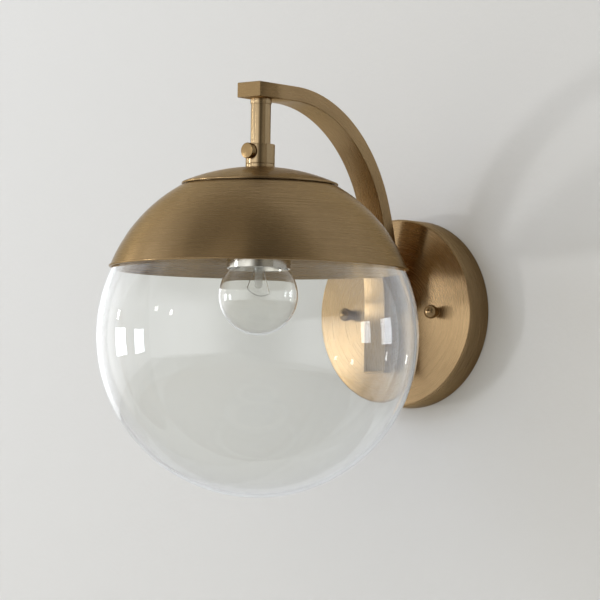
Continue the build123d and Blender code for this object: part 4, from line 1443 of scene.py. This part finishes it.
@dataclass
class Bulb:
    """Clear globe bulb with a screw cap, its mount and its filament."""

    finishes: Finishes
    centre: float = 4.672
    glass_r: float = 25.0
    glass: float = 0.6
    neck_r: float = 12.3
    bend_r: float = 1.6
    neck_in: float = 31.152
    cap_low: float = 27.452
    cap_r: float = 13.2
    thread_deep: float = 0.7
    thread_power: float = 1.4      # above 1 the valleys are wider than the ridges
    skirt: float = 4.2
    skirt_end: float = 0.3
    pitch: float = 3.63
    threads: int = 5
    cap_end: float = 50.302
    cap_wall: float = 0.4
    mount_r: float = 2.6
    mount_low: float = 11.372
    flare_wall: float = 0.7
    flare_h: float = 12.5
    flare_power: float = 2.6       # how soon the flare narrows to the rod
    flare_floor: float = 2.0       # height above the flare's foot where its hollow ends
    hollow_tip: float = 1.0
    bearing: float = 40.0          # of the filament's plane, degrees from the wall
    lead_from: Point = (3.2, 15.4)
    left_lead_to: Point = (-7.1, 4.6)
    right_lead_to: Point = (6.8, 1.7)
    lead_r: float = 0.3
    filament_drop: float = 0.35
    filament_sag: float = 3.0
    coil_r: float = 0.22
    coil_wire_r: float = 0.05
    coil_turns: int = 60

    def build(self) -> None:
        """Build and dress all its pieces."""
        self.envelope()
        self.cap()
        self.mount()
        self.wires()
        dress(self.finishes.black_glass, "bulb_insulator")
        dress(self.finishes.solder, "bulb_contact")

    def envelope(self) -> None:
        """Blown bulb: ball and neck, one thin wall."""
        across = self.neck_r + self.bend_r
        up = math.sqrt((self.glass_r + self.bend_r) ** 2 - across**2)
        turn = math.degrees(math.atan2(up, across))

        def skin(inset: float) -> list[Point]:
            """Give the ball and the neck drawn in by an inset.

            Args:
                inset: 0 for the outside, the glass's thickness for the inside.

            Returns:
                The points from the foot up.
            """
            line = arc((0.0, self.centre), self.glass_r - inset, -90, turn, 56)
            line += arc((across, self.centre + up), self.bend_r + inset, 180 + turn, 180, 8)[1:]
            return [(0.0, line[0][1]), *line[1:], (self.neck_r - inset, self.neck_in)]

        piece = turned("bulb_blown_envelope", [*skin(0), *reversed(skin(self.glass))],
                       on_lamp_axis(), self.finishes.bulb_glass, 128)
        piece.visible_shadow = piece.visible_glossy = False
        stand_in(piece, "bulb_glass", "bulb_envelope")

    def cap(self) -> None:
        """Screw cap: rolled ridges on a thin shell, closed by its lip."""
        steps = 8
        root, lip = self.cap_r - self.thread_deep, self.neck_r + FIT
        bore = root - self.cap_wall
        ridge_low = self.cap_low + self.skirt
        wave = []
        for step in range(self.threads * steps + 1):
            swell = math.sin(math.pi * (step % steps) / steps) ** self.thread_power
            wave.append((root + self.thread_deep * swell, ridge_low + step * self.pitch / steps))
        section = [
            (lip, self.cap_low), (self.cap_r, self.cap_low),
            (self.cap_r, ridge_low - self.skirt_end), *wave, (root, self.cap_end),
            (bore, self.cap_end), (bore, ridge_low), (lip, ridge_low)]
        piece = turned("bulb_cap_rolled", section, on_lamp_axis(), self.finishes.cap_metal)
        stand_in(piece, "bulb_cap_metal", "bulb_cap")

    def mount(self) -> None:
        """Glass mount: thin flare closing the neck, drawn down to a rod."""
        flare = self.neck_r - self.glass - FIT
        steps = 16

        def skin(inset: float) -> list[Point]:
            """Give the flare's curve drawn in by an inset.

            Args:
                inset: 0 for the outside, the flare's thickness for the inside.

            Returns:
                The points from the rim down to the rod.
            """
            line = []
            for step in range(steps + 1):
                share = step / steps
                out = self.mount_r + (flare - self.mount_r) * (1 - share) ** self.flare_power
                line.append((max(out - inset, 0.0), self.neck_in - self.flare_h * share))
            return line

        floor = self.neck_in - self.flare_h + self.flare_floor
        inner = [point for point in skin(self.flare_wall) if point[1] > floor]
        tip = arc((0.0, self.mount_low), self.mount_r, 0, -90, 8)[:-1]
        section = [*skin(0), *tip, (0.0, self.mount_low - self.mount_r),
                   (0.0, inner[-1][1] - self.hollow_tip), *reversed(inner)]
        piece = turned("bulb_mount_drawn", section, on_lamp_axis(), self.finishes.mount_glass, 64)
        piece.visible_shadow = False
        stand_in(piece, "bulb_glass", "bulb_mount")

    def in_plane(self, across: float, up: float) -> Vector:
        """Find a point of the filament's upright plane.

        Args:
            across: distance from the lamp's axis.
            up: height over the middle of the bulb.

        Returns:
            The point, in metres.
        """
        way = math.radians(self.bearing)
        level = across * math.sin(way) - REACH
        return Vector((across * math.cos(way), level, up + self.centre)) * MM

    def wires(self) -> None:
        """Support wires, and the coiled filament hung between them."""
        steps = 6
        out, up = self.lead_from
        lead = coil_shape(self.finishes.nickel, 0.0, self.lead_r, 1)
        leads = []
        for side, end in ((-1, self.left_lead_to), (1, self.right_lead_to)):
            start, stop = self.in_plane(side * out, up), self.in_plane(*end)
            line = [start.lerp(stop, step / steps) for step in range(steps + 1)]
            leads.append(lead.bake("lead", poly_path("lead_path", line)))
        piece = joined("bulb_support_wires", leads, self.finishes.nickel)
        stand_in(piece, "polished_nickel", "bulb_lead_wires")
        (left, left_up), (right, right_up) = self.left_lead_to, self.right_lead_to
        line = []
        for step in range(41):
            share = step / 40
            high = left_up + (right_up - left_up) * share - self.filament_drop
            sag = 4 * self.filament_sag * share * (1 - share)
            line.append(self.in_plane(left + (right - left) * share, high - sag))
        coil = coil_shape(self.finishes.tungsten, self.coil_r, self.coil_wire_r, self.coil_turns)
        mesh = coil.bake("filament", poly_path("filament_path", line))
        wound = finish_mesh(mesh, "bulb_filament_coil", self.finishes.tungsten)
        stand_in(wound, "polished_nickel", "bulb_filament")


# ---- studio --------------------------------------------------------------------------------


@dataclass
class AreaLamp:
    """One soft lamp of the studio, aimed at the lamp on the wall."""

    name: str
    place: Triple
    wide: float
    high: float
    power: float
    colour: str = "#ffffff"
    aim: Triple = (0.0, -0.1, 0.03)
    seen_in_gloss: bool = True
    seen_on_matt: bool = True

    def build(self) -> None:
        """Make the area light."""
        light = bpy.data.lights.new(self.name, "AREA")
        light.shape = "RECTANGLE"
        light.size, light.size_y = self.wide, self.high
        light.energy = self.power
        light.color = linear(self.colour)[:3]
        holder = add_object(self.name, light)
        holder.location = self.place
        way = Vector(self.aim) - Vector(self.place)
        holder.rotation_euler = way.to_track_quat("-Z", "Y").to_euler()
        holder.visible_camera = False
        holder.visible_transmission = False
        holder.visible_glossy = self.seen_in_gloss
        holder.visible_diffuse = self.seen_on_matt


@dataclass
class Studio:
    """Wall, floor, lamps, world and the photograph's camera. Lengths here are metres."""

    wall_half: float = 3.0
    wall_gap: float = 0.0004
    box_hole_r: float = 0.052
    floor_drop: float = 1.45
    wall_paint: str = "#dcdcdb"
    floor_paint: str = "#d8d6d2"
    nap: float = 260.0             # bumps of the paint roller's nap in a metre, 3.8 mm each
    nap_deep: float = 0.001
    camera_place: Triple = (1.2976, -1.67915, -0.1085)
    yaw: float = 39.74
    pitch: float = 3.17
    roll: float = 0.75
    lens: float = 190.54
    sensor: float = 36.0
    soft_light: str = "#ddd9d0"
    background: str = "#e4e3e1"
    ceiling: str = "#95918a"
    ground: str = "#9a958d"
    daylight: Triple = (0.99, 1.0, 1.02)
    indoors: Triple = (1.05, 1.0, 0.9)
    window_level: float = 0.56     # above it the mirrored room is daylight, below it indoors
    low_from: Point = (0.45, 0.25)    # heights of a look between which its own tone comes in
    ceiling_from: Point = (0.6, 1.0)
    ground_from: Point = (-0.2, -0.55)
    # the room that gloss mirrors: bearing from straight out of the wall, and level
    room_low: tuple[Point, ...] = (
        (-120, 0.5), (-98, 0.9), (-90, 1.9), (-66, 1.5), (-48, 1.25), (-33, 1.3), (-20, 1.5),
        (-7, 1.7), (6, 1.6), (17, 0.8), (29, 0.2), (42, 0.1), (54, 0.24), (66, 0.36), (80, 0.36),
        (110, 0.28), (130, 0.26))
    room_round: tuple[Point, ...] = (
        (-120, 0.4), (-98, 0.45), (-93, 1.0), (-81, 1.0), (-77, 0.57), (-72, 1.15), (-67, 1.15),
        (-62, 0.57), (-58, 0.57), (-54, 0.95), (-47, 0.95), (-43, 0.42), (-34, 0.28), (-27, 0.19),
        (-12, 0.22), (0, 0.33), (6, 0.5), (22, 0.53), (27, 0.4), (31, 0.17), (42, 0.13),
        (50, 0.09), (58, 0.09), (66, 0.17), (76, 0.25), (88, 0.29), (104, 0.25), (130, 0.24))

    def build(self) -> None:
        """Build the whole set."""
        self.wall()
        self.floor()
        self.world()
        for lamp in self.lamps():
            lamp.build()
        self.camera()
        bpy.context.scene.view_settings.view_transform = "Standard"

    def paint(self, name: str, colour: str) -> bpy.types.Material:
        """Build a matt paint, clear when it is seen from behind.

        Args:
            name: the material's name.
            colour: its sRGB colour.

        Returns:
            The new material.
        """
        made = blank_material(name)
        tree = made.node_tree
        cloud = add_node(tree, "ShaderNodeTexNoise", {
            "Vector": add_node(tree, "ShaderNodeTexCoord").outputs["Object"], "Scale": self.nap,
            "Detail": 5.0})
        relief = add_node(tree, "ShaderNodeBump", {
            "Height": cloud, "Strength": 0.12, "Distance": self.nap_deep})
        either = add_node(tree, "ShaderNodeMixShader", {
            0: add_node(tree, "ShaderNodeNewGeometry").outputs["Backfacing"],
            1: add_node(tree, "ShaderNodeBsdfDiffuse", {
                "Color": linear(colour), "Normal": relief}),
            2: add_node(tree, "ShaderNodeBsdfTransparent")})
        add_node(tree, "ShaderNodeOutputMaterial", {"Surface": either})
        return made

    def wall(self) -> None:
        """Painted wall with the round opening of the outlet box behind the backplate."""
        steps = 96
        verts, faces = [], []
        for step in range(steps):
            turn = 2 * math.pi * step / steps
            side, up = math.cos(turn), math.sin(turn)
            reach = self.wall_half / max(abs(side), abs(up))
            verts.append((self.box_hole_r * side, self.wall_gap, self.box_hole_r * up))
            verts.append((reach * side, self.wall_gap, max(reach * up, -self.floor_drop)))
            then = (step + 1) % steps
            faces.append((2 * step, 2 * step + 1, 2 * then + 1, 2 * then))
        mesh = bpy.data.meshes.new("wall")
        mesh.from_pydata(verts, [], faces)
        if mesh.polygons[0].normal.y > 0:
            mesh.flip_normals()
        mesh.materials.append(self.paint("matt_paint_pale_grey", self.wall_paint))
        add_object("wall", mesh)

    def floor(self) -> None:
        """Pale floor far below the lamp."""
        half, level = self.wall_half, -self.floor_drop
        mesh = bpy.data.meshes.new("floor")
        mesh.from_pydata(
            [(-half, -2 * half, level), (half, -2 * half, level), (half, self.wall_gap, level),
             (-half, self.wall_gap, level)], [], [(0, 1, 2, 3)])
        mesh.materials.append(self.paint("matt_floor_pale", self.floor_paint))
        add_object("floor", mesh)

    def mirrored_room(
        self, tree: bpy.types.NodeTree, levels: tuple[Point, ...], around: Feed
    ) -> Feed:
        """Add one band of the room, light and dark by bearing.

        Args:
            tree: the world's tree.
            levels: bearing and level of each stop.
            around: bearing of the look, 0 to 1 for a whole turn.

        Returns:
            The band's colour.
        """
        ramp = add_node(tree, "ShaderNodeValToRGB", {"Fac": around})
        held = ramp.color_ramp.elements
        while len(held) < len(levels):
            held.new(0.5)
        for stop, (degrees, level) in zip(held, levels):
            tint = self.daylight if level > self.window_level else self.indoors
            stop.position = (degrees + 180) / 360
            stop.color = (*(level * part for part in tint), 1.0)
        return ramp

    def world(self) -> None:
        """Soft light of the room, the room as gloss mirrors it, and a pale background."""
        world = bpy.data.worlds.new("studio")
        bpy.context.scene.world = world
        world.use_nodes = True
        tree = world.node_tree
        tree.nodes.clear()
        way = add_node(tree, "ShaderNodeSeparateXYZ", {
            "Vector": add_node(tree, "ShaderNodeTexCoord").outputs["Generated"]})
        outward = add_node(tree, "ShaderNodeMath", {
            0: way.outputs["Y"], 1: -1.0}, operation="MULTIPLY")
        bearing = add_node(tree, "ShaderNodeMath", {
            0: way.outputs["X"], 1: outward}, operation="ARCTAN2")
        around = add_node(tree, "ShaderNodeMapRange", {
            "Value": bearing, "From Min": -math.pi, "From Max": math.pi})
        mirrored = self.mirrored_room(tree, self.room_round, around)
        for (start, end), tone in (
                (self.low_from, self.mirrored_room(tree, self.room_low, around)),
                (self.ceiling_from, linear(self.ceiling)), (self.ground_from, linear(self.ground))):
            share = add_node(tree, "ShaderNodeMapRange", {
                "Value": way.outputs["Z"], "From Min": start, "From Max": end})
            mirrored = add_node(tree, "ShaderNodeMix", {
                0: share, MIX_A: mirrored, MIX_B: tone}, data_type="RGBA").outputs[MIX_OUT]
        soft, room, pale = (
            add_node(tree, "ShaderNodeBackground", {"Color": colour})
            for colour in (linear(self.soft_light), mirrored, linear(self.background)))
        path = add_node(tree, "ShaderNodeLightPath")
        seen = add_node(tree, "ShaderNodeMath", {
            0: path.outputs["Is Camera Ray"], 1: path.outputs["Is Transmission Ray"]},
            operation="MAXIMUM")
        straight = add_node(tree, "ShaderNodeMixShader", {0: seen, 1: soft, 2: pale})
        mirror = add_node(tree, "ShaderNodeMath", {
            0: path.outputs["Glossy Depth"], 1: 0.5}, operation="GREATER_THAN")
        both = add_node(tree, "ShaderNodeMixShader", {0: mirror, 1: straight, 2: room})
        add_node(tree, "ShaderNodeOutputWorld", {"Surface": both})

    def lamps(self) -> list[AreaLamp]:
        """List the lamps that light the scene, and the panes that only gloss shows.

        Returns:
            The lamps, in watts and metres.
        """
        return [
            AreaLamp("key_window", (-3.3, -2.2, -0.4), 0.3, 0.3, 25.0, seen_in_gloss=False),
            AreaLamp("tall_window", (-1.65, -1.6, 0.95), 0.9, 1.6, 25.0, "#e6efff",
                     seen_in_gloss=False),
            AreaLamp("behind_wall", (0.3, 1.6, 0.5), 1.0, 1.0, 14.0, seen_in_gloss=False),
            AreaLamp("broad_pane", (-1.9, -1.72, -0.15), 0.42, 0.5, 6.8, "#eef2fc",
                     seen_on_matt=False),
            AreaLamp("small_pane", (-2.39, -0.74, 0.34), 0.1, 0.14, 1.0, seen_on_matt=False),
            AreaLamp("front_pane", (-0.94, -2.37, 0.49), 0.09, 0.12, 0.8, seen_on_matt=False),
        ]

    def camera(self) -> None:
        """Camera at the photograph's place and angle."""
        yaw, pitch, roll = (math.radians(a) for a in (self.yaw, self.pitch, self.roll))
        level = Vector((math.cos(yaw), math.sin(yaw), 0.0))
        ahead = Vector((
            -math.sin(yaw) * math.cos(pitch), math.cos(yaw) * math.cos(pitch), math.sin(pitch)))
        over = level.cross(ahead)
        right = level * math.cos(roll) + over * math.sin(roll)
        up = over * math.cos(roll) - level * math.sin(roll)
        lens = bpy.data.cameras.new("photo_camera")
        lens.lens = self.lens
        lens.sensor_width = self.sensor
        lens.clip_start, lens.clip_end = 0.1, 50.0
        camera = add_object("photo_camera", lens)
        turn = Matrix((right, up, -ahead)).transposed()
        camera.matrix_world = Matrix.Translation(self.camera_place) @ turn.to_4x4()
        bpy.context.scene.camera = camera


# ---- the whole lamp ------------------------------------------------------------------------


@dataclass
class SupplyWires:
    """The two supply wires that run inside the arm."""

    finishes: Finishes

    def build(self) -> None:
        """Dress both wires."""
        dress(self.finishes.black_wire, "live_wire")
        dress(self.finishes.white_wire, "neutral_wire")


def main() -> None:
    logging.basicConfig(level=logging.INFO, format="%(message)s")
    finishes = Finishes()
    for assembly in (WallFixing, Arm, Stem, Hood, GlobeAndFitter, LampHolder, Bulb, SupplyWires):
        assembly(finishes).build()
    Studio().build()


if __name__ == "__main__":
    main()
